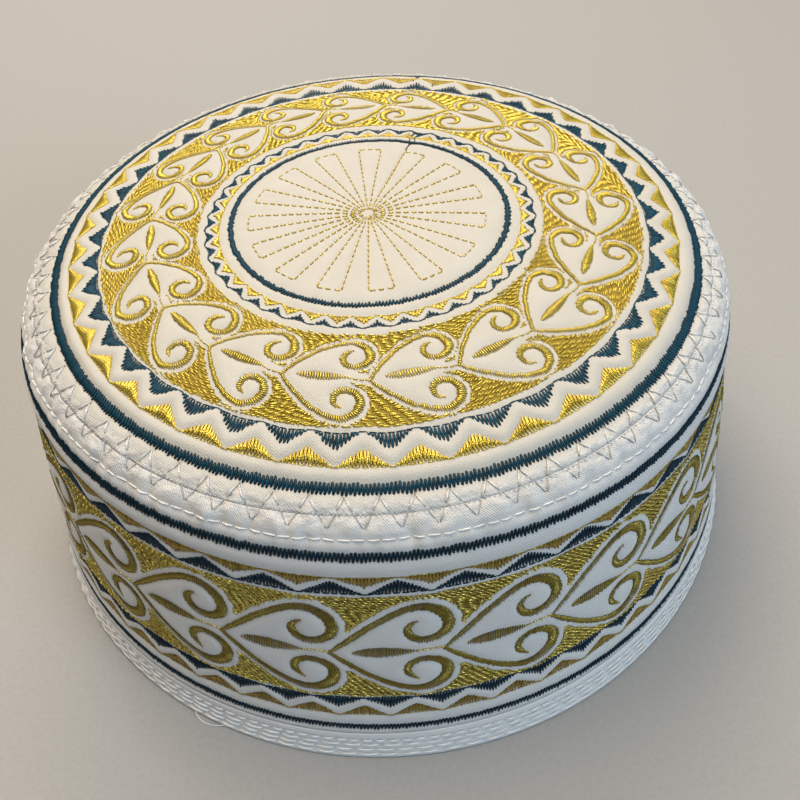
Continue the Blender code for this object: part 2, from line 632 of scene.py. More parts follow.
@dataclass(frozen=True)
class TwillCloth:
    """Cream cotton twill: fine diagonal ridges over crossing threads, a little uneven in colour.

    Attributes:
        seam_share: How far the seam's colours take over.
        underlay: Colour of the hidden gold thread that shows between the stitches over it, darkened as
            painted shade of those stitches.
        underlay_from: Share of thread from which it starts to show.
        ridge_pitch: Distance between two ridges of the twill, in millimetres.
        ridge_slope: How steeply they climb, and to which side.
        ridge_wobble: How far they stray from a straight line, in radians of their wave.
        wobble_grain: Scale and detail of the ridges' wobble; the next three are alike.
    """

    name: str
    dark: tuple = (0.57, 0.545, 0.505)
    bright: tuple = (0.78, 0.765, 0.74)
    seam_dark: tuple = (0.57, 0.55, 0.52)
    seam_bright: tuple = (0.80, 0.78, 0.75)
    seam_share: float = 0.9
    underlay: tuple = (0.22, 0.145, 0.015)
    underlay_from: float = 0.5
    underlay_gain: float = 4.0
    ridge_pitch: float = 0.37
    ridge_slope: float = 1.0
    ridge_wobble: float = 1.5
    ridge_shade: float = 0.18
    slub_shade: float = 0.42
    blotch_shade: float = 0.44
    ridge_height: float = 0.4
    slub_height: float = 1.3
    ruffle_height: float = 5.0
    wobble_grain: tuple = (0.8, 2.0)
    slub_grain: tuple = (3.0, 2.0)
    blotch_grain: tuple = (0.12, 3.0)
    ruffle_grain: tuple = (2.2, 3.0)
    roughness: float = 0.72
    roughness_swing: float = 0.12
    sheen: float = 0.25
    sheen_roughness: float = 0.4
    specular: float = 0.35
    bump_strength: float = 0.7
    bump_depth: float = 0.00012

    def material(self) -> Material:
        """Make the cloth's material.

        Returns:
            The new material, which reads the mesh's weave, ruffle and underlay.
        """
        sheet = NodeSheet(self.name)
        weave = sheet.node("ShaderNodeUVMap", {"uv_map": "weave"}, {}).outputs[0]
        parts = sheet.node("ShaderNodeSeparateXYZ", {}, {"Vector": weave}).outputs
        across, along = Value(sheet, parts[0]), Value(sheet, parts[1])
        wobble = sheet.noise(*self.wobble_grain, weave)
        turn = 2 * math.pi / (self.ridge_pitch * math.hypot(1, self.ridge_slope))
        wave = (across + along * self.ridge_slope) * turn + wobble * self.ridge_wobble
        ridge = wave.sine() * 0.5 + 0.5
        slub = sheet.noise(*self.slub_grain, weave)
        blotch = sheet.noise(*self.blotch_grain, weave)
        shade = (ridge * self.ridge_shade + slub * self.slub_shade + blotch * self.blotch_shade).clamped()
        seam = sheet.mixed(shade, self.seam_dark, self.seam_bright)
        colour = sheet.mixed(shade, self.dark, self.bright)
        colour = sheet.mixed(sheet.attribute("ruffle") * self.seam_share, colour, seam)
        # Under the gold fill the cloth turns dark gold: partly hidden underlay thread, partly painted shade
        # of the stitches over it.
        under = ((sheet.attribute("underlay") - self.underlay_from) * self.underlay_gain).clamped()
        sheet.paint({
            "Base Color": sheet.mixed(under, colour, self.underlay),
            "Roughness": slub * self.roughness_swing + (self.roughness - self.roughness_swing / 2),
            "Sheen Weight": self.sheen,
            "Sheen Roughness": self.sheen_roughness,
            "Specular IOR Level": self.specular,
        })
        crumples = sheet.noise(*self.ruffle_grain, weave) * self.ruffle_height
        height = ridge * self.ridge_height + slub * self.slub_height + sheet.attribute("ruffle") * crumples
        sheet.emboss(height, self.bump_strength, self.bump_depth)
        return sheet.material


@dataclass(frozen=True)
class Thread:
    """Embroidery thread: two shades by the stitch's tone, painted shade where its ends dip in, and a silky
    gloss.

    Attributes:
        roughness: Roughness of the darkest stitches.
        twist_pitch: Length of a turn of its twist, in millimetres.
        twist_shift: How far a stitch's tone turns its twist, in radians.
        least_shade: Shade to which the stitch's tone and the twist add theirs.
        dip_fade: How fast the painted shade darkens a stitch toward its ends.
        dip_shade: What is left of its brightness at the very end, under the painted shade.
    """

    name: str
    dark: tuple
    bright: tuple
    roughness: float
    metallic: float
    specular: float = 0.5
    twist_pitch: float = 0.55
    twist_shift: float = 20.0
    tone_shade: float = 0.66
    twist_shade: float = 0.12
    least_shade: float = 0.26
    dip_fade: float = 1.5
    dip_shade: float = 0.15
    tone_gloss: float = 0.1
    twist_gloss: float = 0.06
    bump_strength: float = 0.4
    bump_depth: float = 0.00006

    def material(self) -> Material:
        """Make the thread's material.

        Returns:
            The new material, which reads the stitches' tone, along and middle.
        """
        sheet = NodeSheet(self.name)
        tone, along, middle = (sheet.attribute(name) for name in ("tone", "along", "middle"))
        wave = along * (2 * math.pi / self.twist_pitch) + tone * self.twist_shift
        twist = wave.sine() * 0.5 + 0.5
        # Painted shade toward the stitch's ends, where they dive into the cloth: middle is 1 mid-stitch and 0
        # at the ends.
        dip = middle ** self.dip_fade * (1 - self.dip_shade) + self.dip_shade
        shade = ((tone * self.tone_shade + twist * self.twist_shade + self.least_shade) * dip).clamped()
        sheet.paint({
            "Base Color": sheet.mixed(shade, self.dark, self.bright),
            "Roughness": tone * -self.tone_gloss + twist * self.twist_gloss + self.roughness,
            "Metallic": self.metallic,
            "Specular IOR Level": self.specular,
        })
        sheet.emboss(twist, self.bump_strength, self.bump_depth)
        return sheet.material


def smooth(mesh: Mesh) -> None:
    """Shade every face of a mesh smooth."""
    mesh.polygons.foreach_set("use_smooth", np.ones(len(mesh.polygons), bool))


def read(rows: bpy_prop_collection, name: str, kind: type = float, width: int = 1) -> Array:
    """Read a value of every point, corner or face of a mesh.

    Args:
        rows: The mesh's points, corners or faces, or the data of one of its attributes.
        name: What the value is called there.
        kind: Its kind of number.
        width: How many numbers it has.

    Returns:
        The values, in the mesh's order.
    """
    values = np.empty((len(rows), width), kind)
    rows.foreach_get(name, values.ravel())
    return values.squeeze()


def points_of(mesh: Mesh) -> Array:
    """Where a mesh's points lie, in metres, one row for each."""
    return read(mesh.vertices, "co", width=3)


def labels_of(mesh: Mesh, name: str) -> Array:
    """A number that a mesh carries at its points."""
    return read(mesh.attributes[name].data, "value")


def label(mesh: Mesh, **labels: Array) -> None:
    """Give a mesh's points numbers, by name."""
    for name, values in labels.items():
        mesh.attributes.new(name, "FLOAT", "POINT").data.foreach_set("value", values.ravel())


def angle_of(x: Array, y: Array) -> Array:
    """Angles round the cap of places seen from above."""
    return np.degrees(np.arctan2(x, -y))


@dataclass(frozen=True)
class ClothPanel:
    """A wall of cloth, turned about the cap's axis and then shaped by the stitches that hold it.

    Attributes:
        node: The plain solid that it stands for.
        outer: Runs of the outer face's rounds, from top to bottom.
        inner: The same of the inner face.
        flat: True where the cloth's weave lies flat on the crown, False where it is wound round the side.
        inner_share: How much of the outer face's puffs the inner face repeats.
        ruffle_spread: How far from the seam the cloth is ruffled.
        weave_radius: Radius at which the wound weave has its true size.
        level: Span of run below which a face counts as one of the wall's narrow ends.
        weld: Distance at which the turned outline's points are merged, in metres.
    """

    name: str
    node: str
    slot: str
    outer: Array
    inner: Array
    wall: float
    steps: int
    flat: bool = False
    inner_share: float = 0.25
    ruffle_spread: float = 2.6
    weave_radius: float = 85.0
    level: float = 1e-4
    weld: float = 1e-6

    def build(self, face: CapFace, relief: Relief) -> Object:
        """Turn the wall's outline, shape it and lay its weave.

        Args:
            face: The cap's outer face.
            relief: The puffs and dips that its stitches give the cloth.

        Returns:
            The finished piece.
        """
        run = np.concatenate([self.outer, self.inner[::-1]])
        depth = np.concatenate([np.zeros(len(self.outer)), np.full(len(self.inner), self.wall)])
        bpy.ops.object.select_all(action="DESELECT")
        bpy.ops.mesh.primitive_circle_add(vertices=len(run), fill_type="NOTHING")
        piece = bpy.context.object
        piece.name = piece.data.name = self.name
        mesh = piece.data
        plain = self.plain(face, run, depth)
        mesh.vertices.foreach_set("co", plain.ravel())
        label(mesh, run=run, depth=depth)
        if run[0] == 0.0:
            self.cut_axis_edge(piece)
        turned = piece.modifiers.new("turn", "SCREW")
        turned.steps = turned.render_steps = self.steps
        turned.use_merge_vertices = True
        turned.merge_threshold = self.weld
        bpy.ops.object.modifier_apply(modifier=turned.name)
        self.shape(mesh, face, relief)
        bpy.ops.object.mode_set(mode="EDIT")
        bpy.ops.mesh.select_all(action="SELECT")
        bpy.ops.mesh.normals_make_consistent(inside=False)
        bpy.ops.object.mode_set(mode="OBJECT")
        self.lay_weave(mesh)
        smooth(mesh)
        self.square_ends(mesh)
        for name in ("run", "depth"):
            mesh.attributes.remove(mesh.attributes[name])
        return piece

    def square_ends(self, mesh: Mesh) -> None:
        """Shade the wall's narrow ends flat, so that its outer face stays even up to the seam.

        Args:
            mesh: The finished wall, whose points still carry their runs.
        """
        run = labels_of(mesh, "run")[read(mesh.loops, "vertex_index", int)]
        starts = read(mesh.polygons, "loop_start", int)
        span = np.maximum.reduceat(run, starts) - np.minimum.reduceat(run, starts)
        mesh.polygons.foreach_set("use_smooth", span > self.level)

    def plain(self, face: CapFace, run: Array, depth: Array) -> Array:
        """The wall's outline before it is turned, at +X, in metres.

        Args:
            face: The cap's outer face.
            run: Run of each point of the outline.
            depth: How deep it lies in the cloth.

        Returns:
            A row of x, y and z for each point.
        """
        line = face.line
        out, up = (np.interp(run, line["run"], line[key]) for key in ("out", "up"))
        radius = np.where(run == 0.0, 0.0, face.radius_at(run) - depth * out)
        return np.stack([radius, np.zeros(len(run)), face.height_at(run) - depth * up], -1) * MM

    def cut_axis_edge(self, piece: Object) -> None:
        """Open the outline where it runs along the axis, so that turning it leaves no faces inside.

        Args:
            piece: The outline's object.
        """
        bpy.ops.object.mode_set(mode="EDIT")
        bpy.ops.mesh.select_all(action="DESELECT")
        bpy.ops.mesh.select_mode(type="EDGE")
        bpy.ops.object.mode_set(mode="OBJECT")
        ends = {0, len(piece.data.vertices) - 1}
        for edge in piece.data.edges:
            edge.select = set(edge.vertices) == ends
        bpy.ops.object.mode_set(mode="EDIT")
        bpy.ops.mesh.delete(type="EDGE_FACE")
        bpy.ops.mesh.select_mode(type="VERT")
        bpy.ops.object.mode_set(mode="OBJECT")

    def shape(self, mesh: Mesh, face: CapFace, relief: Relief) -> None:
        """Give the turned wall its puffs, puckers and raised back.

        Args:
            mesh: The turned wall.
            face: The cap's outer face.
            relief: The puffs and dips.
        """
        x, y, _ = points_of(mesh).T
        angle, run, depth = angle_of(x, y), labels_of(mesh, "run"), labels_of(mesh, "depth")
        share = 1 - depth / self.wall * (1 - self.inner_share)
        lift = relief.at(angle, run) * share - depth
        mesh.vertices.foreach_set("co", face.place(angle, run, lift).ravel())
        # The outer face carries the thread cover under the gold fill, which the material paints dark: partly
        # hidden thread, partly painted shade.
        underlay = np.where(depth == 0.0, relief.read(relief.underlay, angle, run), 0.0)
        label(mesh, ruffle=bell(run, face.seam_run, self.ruffle_spread), underlay=underlay)

    def lay_weave(self, mesh: Mesh) -> None:
        """Give the cloth a UV map in millimetres of weave.

        Args:
            mesh: The shaped wall.
        """
        x, y, _ = points_of(mesh).T / MM
        corner = read(mesh.loops, "vertex_index", int)
        for old in list(mesh.uv_layers):
            mesh.uv_layers.remove(old)
        layer = mesh.uv_layers.new(name="weave")
        if self.flat:
            weave = np.stack([x, y], -1)[corner]
        else:
            starts = read(mesh.polygons, "loop_start", int)
            angle = angle_of(x, y)[corner]
            sizes = np.diff(np.append(starts, len(corner)))
            highest = np.repeat(np.maximum.reduceat(angle, starts), sizes)
            angle = np.where(highest - angle > TURN / 2, angle + TURN, angle)
            weave = np.stack([np.radians(angle) * self.weave_radius, labels_of(mesh, "run")[corner]], -1)
        layer.data.foreach_set("uv", weave.ravel())


@dataclass(frozen=True)
class ThreadWork:
    """Makes one mesh of many stitches, each a slim closed spindle of thread that bows over the cloth.

    There are tens of thousands of stitches, too many for modelling operators, so their points are worked
    out together.

    Attributes:
        shares: Where along a stitch its rings of points lie.
        sink: How deep its ends go into the cloth.
        rounding: Thickness of the thread over its width.
        low_edge: How far its lower edges lie below its middle, over half its width.
        fullness: How square its bow is; 2 gives a plain arc.
        dip: How late along the stitch its ends take painted shade.
    """

    face: CapFace
    relief: Relief
    shares: tuple = (0.12, 0.5, 0.88)
    sink: float = 0.22
    rounding: float = 0.5
    low_edge: float = 0.6
    fullness: float = 2.2
    dip: int = 3

    def build(self, name: str, stitches: Stitches) -> Object:
        """Make one piece of the stitches.

        Args:
            name: Name of the piece.
            stitches: Its stitches.

        Returns:
            The new piece.
        """
        share = np.array((0.0, *self.shares, 1.0))
        angle, run = stitches.at(share)
        bow = stitches.arch[:, None] * (1 - np.abs(2 * share - 1) ** self.fullness)
        lift = self.relief.at(angle, run) + bow
        lift[:, [0, -1]] -= self.sink
        middle = self.face.place(angle, run, lift)
        normal = (self.face.place(angle, run, lift + 1.0) - middle) / MM
        along = np.gradient(middle, axis=1)
        along /= np.maximum(np.linalg.norm(along, axis=2, keepdims=True), 1e-12)
        side = np.cross(along, normal)
        half = stitches.width[:, None, None] * MM / 2
        core, across, off = middle[:, 1:-1], side[:, 1:-1] * half, normal[:, 1:-1] * half
        rings = np.stack([
            core - across - off * self.low_edge,
            core + off * 2 * self.rounding,
            core + across - off * self.low_edge,
        ], axis=2)
        rings = rings.reshape(len(stitches.start), -1, 3)
        mesh = self.mesh_of(name, np.concatenate([middle[:, :1], rings, middle[:, -1:]], axis=1))
        self.tell_places(mesh, stitches, share)
        piece = bpy.data.objects.new(name, mesh)
        bpy.context.scene.collection.objects.link(piece)
        return piece

    def faces_of(self) -> tuple[list, list]:
        """Corners and face sizes of one stitch's spindle.

        Returns:
            The points at its faces' corners, face after face, and each face's number of corners.
        """
        corners, sizes = [], []
        last = 3 * len(self.shares) + 1
        for k in range(3):
            after = (k + 1) % 3
            corners += [0, 1 + k, 1 + after]
            sizes.append(3)
            for ring in range(len(self.shares) - 1):
                low, high = 1 + 3 * ring, 4 + 3 * ring
                corners += [low + k, high + k, high + after, low + after]
                sizes.append(4)
            corners += [last, last - 3 + after, last - 3 + k]
            sizes.append(3)
        return corners, sizes

    def mesh_of(self, name: str, points: Array) -> Mesh:
        """One mesh of all the spindles' points.

        Args:
            name: Name of the mesh.
            points: A row of points for each stitch.

        Returns:
            The new mesh.
        """
        corners, sizes = self.faces_of()
        count, per = points.shape[:2]
        all_corners = (np.array(corners)[None, :] + per * np.arange(count)[:, None]).ravel()
        all_sizes = np.tile(sizes, count)
        starts = np.concatenate([[0], np.cumsum(all_sizes)[:-1]])
        mesh = bpy.data.meshes.new(name)
        mesh.vertices.add(count * per)
        mesh.vertices.foreach_set("co", points.ravel())
        mesh.loops.add(len(all_corners))
        mesh.loops.foreach_set("vertex_index", all_corners)
        mesh.polygons.add(len(all_sizes))
        mesh.polygons.foreach_set("loop_start", starts)
        mesh.update(calc_edges=True)
        mesh.validate()
        smooth(mesh)
        return mesh

    def tell_places(self, mesh: Mesh, stitches: Stitches, share: Array) -> None:
        """Give every point its stitch's tone, its own place along the thread, and its middle share, which
        sets the painted shade at its ends.

        Args:
            mesh: The stitches' mesh.
            stitches: The stitches.
            share: Where along a stitch its points lie, ends and rings.
        """
        ring_share = np.concatenate([[0.0], np.repeat(share[1:-1], 3), [1.0]])
        along = stitches.length(self.face)[:, None] * ring_share[None, :]
        tone = np.repeat(stitches.tone[:, None], len(ring_share), axis=1)
        # middle drives the painted shade at the ends of every stitch.
        middle = np.broadcast_to(1 - np.abs(2 * ring_share - 1) ** self.dip, tone.shape)
        label(mesh, tone=tone, along=along, middle=middle)


@dataclass(frozen=True)
class SatinRing:
    """A round of zigzag satin whose stitches stand as teeth at both of its edges.

    Attributes:
        inner: Run of its inner or upper edge.
        outer: Run of its outer or lower edge.
        lean: How far a tooth leans on, over the distance between two.
        out_tones: Least and most shade of the stitches that lead out.
        back_tones: The same of those that lead back, which lie in the others' shade.
    """

    inner: float
    outer: float
    teeth: int
    width: float = 0.4
    arch: float = 0.28
    raggedness: float = 0.2
    lean: float = 0.25
    out_tones: tuple = (0.3, 1.0)
    back_tones: tuple = (0.0, 0.3)
    wander: Wander = Wander()
    seed: int = 1

    def sew(self) -> Stitches:
        """Sew the ring.

        Returns:
            The stitches, out and back in turn.
        """
        rng = np.random.default_rng(self.seed)
        pitch = TURN / self.teeth
        base = np.arange(self.teeth) * pitch
        inner = self.inner + rng.uniform(-1, 1, self.teeth) * self.raggedness
        outer = self.outer + rng.uniform(-1, 1, self.teeth) * self.raggedness
        low = np.stack([base, inner], -1)
        high = np.stack([base + pitch * self.lean, outer], -1)
        onward = np.stack([base + pitch, np.roll(inner, -1)], -1)
        tones = (self.out_tones, self.back_tones)
        tone = np.concatenate([rng.uniform(*limits, self.teeth) for limits in tones])
        start, end = np.concatenate([low, high]), np.concatenate([high, onward])
        return Stitches.sewn(start, end, self.width, self.arch, tone).wandered(self.wander)


@dataclass(frozen=True)
class TriangleRow:
    """A round of small triangles of parallel stitches on a base line.

    Attributes:
        base: Run of the base line.
        tip: Run of the triangles' tips.
        first: Angle of the first tip.
        spread: Share of the period that a triangle takes at its foot.
        shape: 1 gives straight flanks, more gives hollow ones.
        sag: How far the base line hangs away from the tips between two triangles.
        foot_raggedness: How far the stitches' feet stray from the base line.
        foot_arch: How high the stitches bow at a triangle's foot, over their bow at its tip.
        line_inset: How far inside the triangles the line along their feet lies.
    """

    base: float
    tip: float
    count: int
    first: float
    spread: float = 0.96
    shape: float = 1.15
    teeth: int = 16
    width: float = 0.36
    arch: float = 0.2
    raggedness: float = 0.14
    sag: float = 0.0
    foot_raggedness: float = 0.08
    foot_arch: float = 0.4
    line_inset: float = 0.12
    line_steps: int = 2160
    tones: tuple = (0.0, 1.0)
    wander: Wander = Wander()
    seed: int = 2

    def sew(self, face: CapFace) -> Stitches:
        """Sew the round.

        Args:
            face: The cap's outer face.

        Returns:
            Two stitches for each tooth, out and back, and a line along the triangles' feet.
        """
        rng = np.random.default_rng(self.seed)
        total = self.count * self.teeth
        share = (np.arange(total) + 0.5) / self.teeth - 0.5
        frac = share - np.round(share)
        angle = self.first + share * TURN / self.count
        half = TURN / self.count / self.teeth / 2
        flank = np.clip(1 - 2 * np.abs(frac) / self.spread, 0.0, 1.0) ** self.shape
        reach = self.tip - self.base
        ragged = rng.uniform(-1, 1, total) * self.raggedness * np.sign(reach)
        base = self.foot(angle)
        top = base + reach * flank + ragged * np.clip(flank * 3, 0.0, 1.0)
        foot = base + rng.uniform(-self.foot_raggedness, self.foot_raggedness, total)
        tip = np.stack([angle, top], -1)
        left, right = np.stack([angle - half, foot], -1), np.stack([angle + half, foot], -1)
        start, end = np.concatenate([left, tip]), np.concatenate([tip, right])
        arch = np.tile(self.arch * (self.foot_arch + (1 - self.foot_arch) * flank), 2)
        teeth = Stitches.sewn(start, end, self.width, arch, rng.uniform(*self.tones, 2 * total))
        return Stitches.joined([teeth, self.base_line(face)]).wandered(self.wander)

    def foot(self, angle: Array) -> Array:
        """Run of the base line at each angle."""
        turn = np.radians((angle - self.first) * self.count)
        return self.base - math.copysign(self.sag, self.tip - self.base) * (1 - np.cos(turn)) / 2

    def base_line(self, face: CapFace) -> Stitches:
        """The thin line of stitches that joins the triangles' feet.

        Args:
            face: The cap's outer face.

        Returns:
            The line's stitches.
        """
        angle = np.linspace(0, TURN, self.line_steps + 1)
        line = RunningLine(period=1.6, dash=1.0, width=0.3, arch=0.1, unevenness=0.05, seed=self.seed + 50)
        toward = math.copysign(self.line_inset, self.tip - self.base)
        return line.sew(face, np.stack([angle, self.foot(angle) + toward], -1))


@dataclass(frozen=True)
class RunningLine:
    """A row of running stitches along a line of places: a dash of thread, then a gap where it dips under.

    Attributes:
        period: Length of a stitch and its gap.
        dash: The stitch's share of it.
        unevenness: How far a stitch strays along the line.
        dash_limits: Least and most length of a stitch, over its mean.
    """

    period: float
    dash: float
    width: float = 0.38
    arch: float = 0.16
    unevenness: float = 0.12
    dash_limits: tuple = (0.9, 1.08)
    tones: tuple = (0.3, 1.0)
    seed: int = 3

    def sew(self, face: CapFace, places: Array) -> Stitches:
        """Sew along a line.

        Args:
            face: The cap's outer face.
            places: The line, as (angle, run) rows.

        Returns:
            The line's stitches.
        """
        rng = np.random.default_rng(self.seed)
        radius = face.radius_at((places[1:, 1] + places[:-1, 1]) / 2)
        hops = np.hypot(np.radians(np.diff(places[:, 0])) * radius, np.diff(places[:, 1]))
        along = np.concatenate([[0.0], np.cumsum(hops)])
        count = max(int(round(along[-1] / self.period)), 1)
        first = (np.arange(count) + (1 - self.dash) / 2) * along[-1] / count
        first += rng.uniform(-1, 1, count) * self.unevenness
        last = first + self.dash * along[-1] / count * rng.uniform(*self.dash_limits, count)
        start, end = (
            np.stack([np.interp(at, along, places[:, k]) for k in range(2)], -1) for at in (first, last)
        )
        return Stitches.sewn(start, end, self.width, self.arch, rng.uniform(*self.tones, count))


def level_round(run: float, first: float = 0.0, steps: int = 1440) -> Array:
    """A level line right round the cap: an (angle, run) row for each step, and one for its end."""
    angle = first + np.linspace(0, TURN, steps + 1)
    return np.stack([angle, np.full(len(angle), run)], -1)


def spaced_line(rows: Sequence[Spine], spacing: float, steps: int = 12) -> Array:
    """A smooth line through a satin column's rows.

    Args:
        rows: The rows of the column.
        spacing: Distance between the line's points.
        steps: Steps between two rows at which the line is measured.

    Returns:
        A row of along, across and width for each point.
    """
    points = np.array(rows)
    ends = np.concatenate([[2 * points[0] - points[1]], points, [2 * points[-1] - points[-2]]])
    share = np.linspace(0, 1, steps, endpoint=False)[:, None]
    pieces = []
    for before, start, end, after in zip(ends, ends[1:], ends[2:], ends[3:]):
        bend = 2 * before - 5 * start + 4 * end - after
        twist = 3 * (start - end) + after - before
        pieces.append(start + 0.5 * share * ((end - before) + share * (bend + share * twist)))
    dense = np.concatenate(pieces + [points[-1:]])
    along = np.concatenate([[0.0], np.cumsum(np.hypot(*np.diff(dense[:, :2], axis=0).T))])
    at = np.linspace(0, along[-1], max(int(along[-1] / spacing), 2))
    return np.stack([np.interp(at, along, dense[:, k]) for k in range(3)], -1)


@dataclass(frozen=True)
class Heart:
    """One heart lying along its band: two lobes that end in scrolls, a leaf between, a stem to the next.

    Attributes:
        lobe: The upper lobe's satin column, from the tip round into the scroll.
        scroll_row: The row of the lobe where its scroll comes back nearest to the heart's middle line.
        lower_shift: How far along the lower lobe lies from the upper one's mirror image.
        lower_scale: Its size across over the upper one's.
        leaf: Where the leaf starts and ends along, and its half width.
        stem_end: Where the stem ends along.
        stem_room: Width of the bare cloth along the stem, less the halo.
        ragged: Least and most length that a stitch adds at an end.
        slant: How far a stitch's ends lie back and on along the column.
        leaf_shape: How full the leaf's outline is; 1 gives a plain arc.
        reach: How far round the satin the map of distances goes.
        far: A distance that stands for any place past it.
    """

    lobe: tuple
    scroll_row: int
    lower_shift: float
    lower_scale: float
    leaf: tuple
    stem_end: float
    stem_room: float
    spacing: float = 0.42
    width: float = 0.35
    ragged: tuple = (-0.08, 0.2)
    slant: float = 0.12
    leaf_spacing: float = 1.15
    leaf_shape: float = 0.8
    leaf_ragged: float = 0.1
    leaf_tip: float = 0.1
    leaf_slant: float = 0.1
    raster: float = 0.12
    map_spacing: float = 0.3
    reach: float = 3.0
    far: float = 9.0
    seed: int = 4

    def lobes(self, spacing: float) -> list[Array]:
        """Both lobes' middle lines.

        Args:
            spacing: Distance between their points.

        Returns:
            For each lobe, rows of along, across and width.
        """
        upper = spaced_line(self.lobe, spacing)
        lower = upper * np.array([1.0, -self.lower_scale, 1.0]) + np.array([self.lower_shift, 0.0, 0.0])
        return [upper, lower]

    def satin(self) -> tuple[Array, Array, Array]:
        """Satin of both lobes and the leaf, on the flat motif.

        Returns:
            The stitches' starts and ends, as (along, across) rows, and the column's width at each.
        """
        starts, ends, widths = [], [], []
        rng = np.random.default_rng(self.seed)
        for lobe in self.lobes(self.spacing):
            tangent = np.gradient(lobe[:, :2], axis=0)
            tangent /= np.linalg.norm(tangent, axis=1, keepdims=True)
            normal = np.stack([-tangent[:, 1], tangent[:, 0]], -1)
            half = lobe[:, 2:] / 2
            ragged = rng.uniform(*self.ragged, (2, len(lobe), 1))
            slant = tangent * self.slant
            starts.append(lobe[:, :2] - normal * (half + ragged[0]) - slant)
            ends.append(lobe[:, :2] + normal * (half + ragged[1]) + slant)
            widths.append(lobe[:, 2])
        low, high, half_width = self.leaf
        count = int((high - low) / (self.spacing * self.leaf_spacing))
        share = (np.arange(count) + 0.5) / count
        along = low + share * (high - low)
        half = half_width * np.sin(math.pi * share ** self.leaf_shape) ** self.leaf_shape + self.leaf_tip
        half_ends = half[:, None] * (1 + rng.uniform(-self.leaf_ragged, self.leaf_ragged, (count, 2)))
        starts.append(np.stack([along - self.leaf_slant, -half_ends[:, 0]], -1))
        ends.append(np.stack([along + self.leaf_slant, half_ends[:, 1]], -1))
        widths.append(half * 2)
        return np.concatenate(starts), np.concatenate(ends), np.concatenate(widths)

    @cached_property
    def clearance(self) -> tuple[Array, Array]:
        """A map of how far places round the motif lie from its satin.

        Returns:
            The map's lowest corner, and each cell's distance from the satin: -1 inside the heart.
        """
        points = np.concatenate(self.lobes(self.map_spacing))
        low = points[:, :2].min(axis=0) - self.reach
        high = points[:, :2].max(axis=0) + self.reach
        xs, ys = (np.arange(low[k], high[k], self.raster) for k in range(2))
        x, y = np.meshgrid(xs, ys, indexing="ij")
        gap = np.full(x.shape, self.far)
        stem = np.arange(self.leaf[1] - 1.0, self.stem_end, self.map_spacing)
        points = np.concatenate([points, np.stack([stem, 0 * stem, 0 * stem + self.stem_room], -1)])
        for along, across, width in points:
            gap = np.minimum(gap, np.hypot(x - along, y - across) - width / 2)
        edge = np.array(self.lobe)[: self.scroll_row + 1, :2]
        mirrored = edge * np.array([1.0, -self.lower_scale]) + np.array([self.lower_shift, 0.0])
        ring = np.concatenate([edge, mirrored[::-1]])
        inside = np.zeros(x.shape, bool)
        for (ax, ay), (bx, by) in zip(ring, np.roll(ring, -1, axis=0)):
            crosses = (ay > y) != (by > y)
            at = ax + (y - ay) * (bx - ax) / (by - ay if by != ay else 1e-9)
            inside ^= crosses & (x < at)
        return low, np.where(inside, -1.0, gap)

    def outside(self, along: Array, across: Array) -> Array:
        """How far places on the flat motif lie from its satin.

        Args:
            along: Where they lie along the motif.
            across: Where they lie across it.

        Returns:
            The distances, negative inside the heart.
        """
        low, gap = self.clearance
        column = np.round((along - low[0]) / self.raster).astype(int)
        row = np.round((across - low[1]) / self.raster).astype(int)
        known = (column >= 0) & (row >= 0) & (column < gap.shape[0]) & (row < gap.shape[1])
        nearest = gap[column.clip(0, gap.shape[0] - 1), row.clip(0, gap.shape[1] - 1)]
        return np.where(known, nearest, self.far)


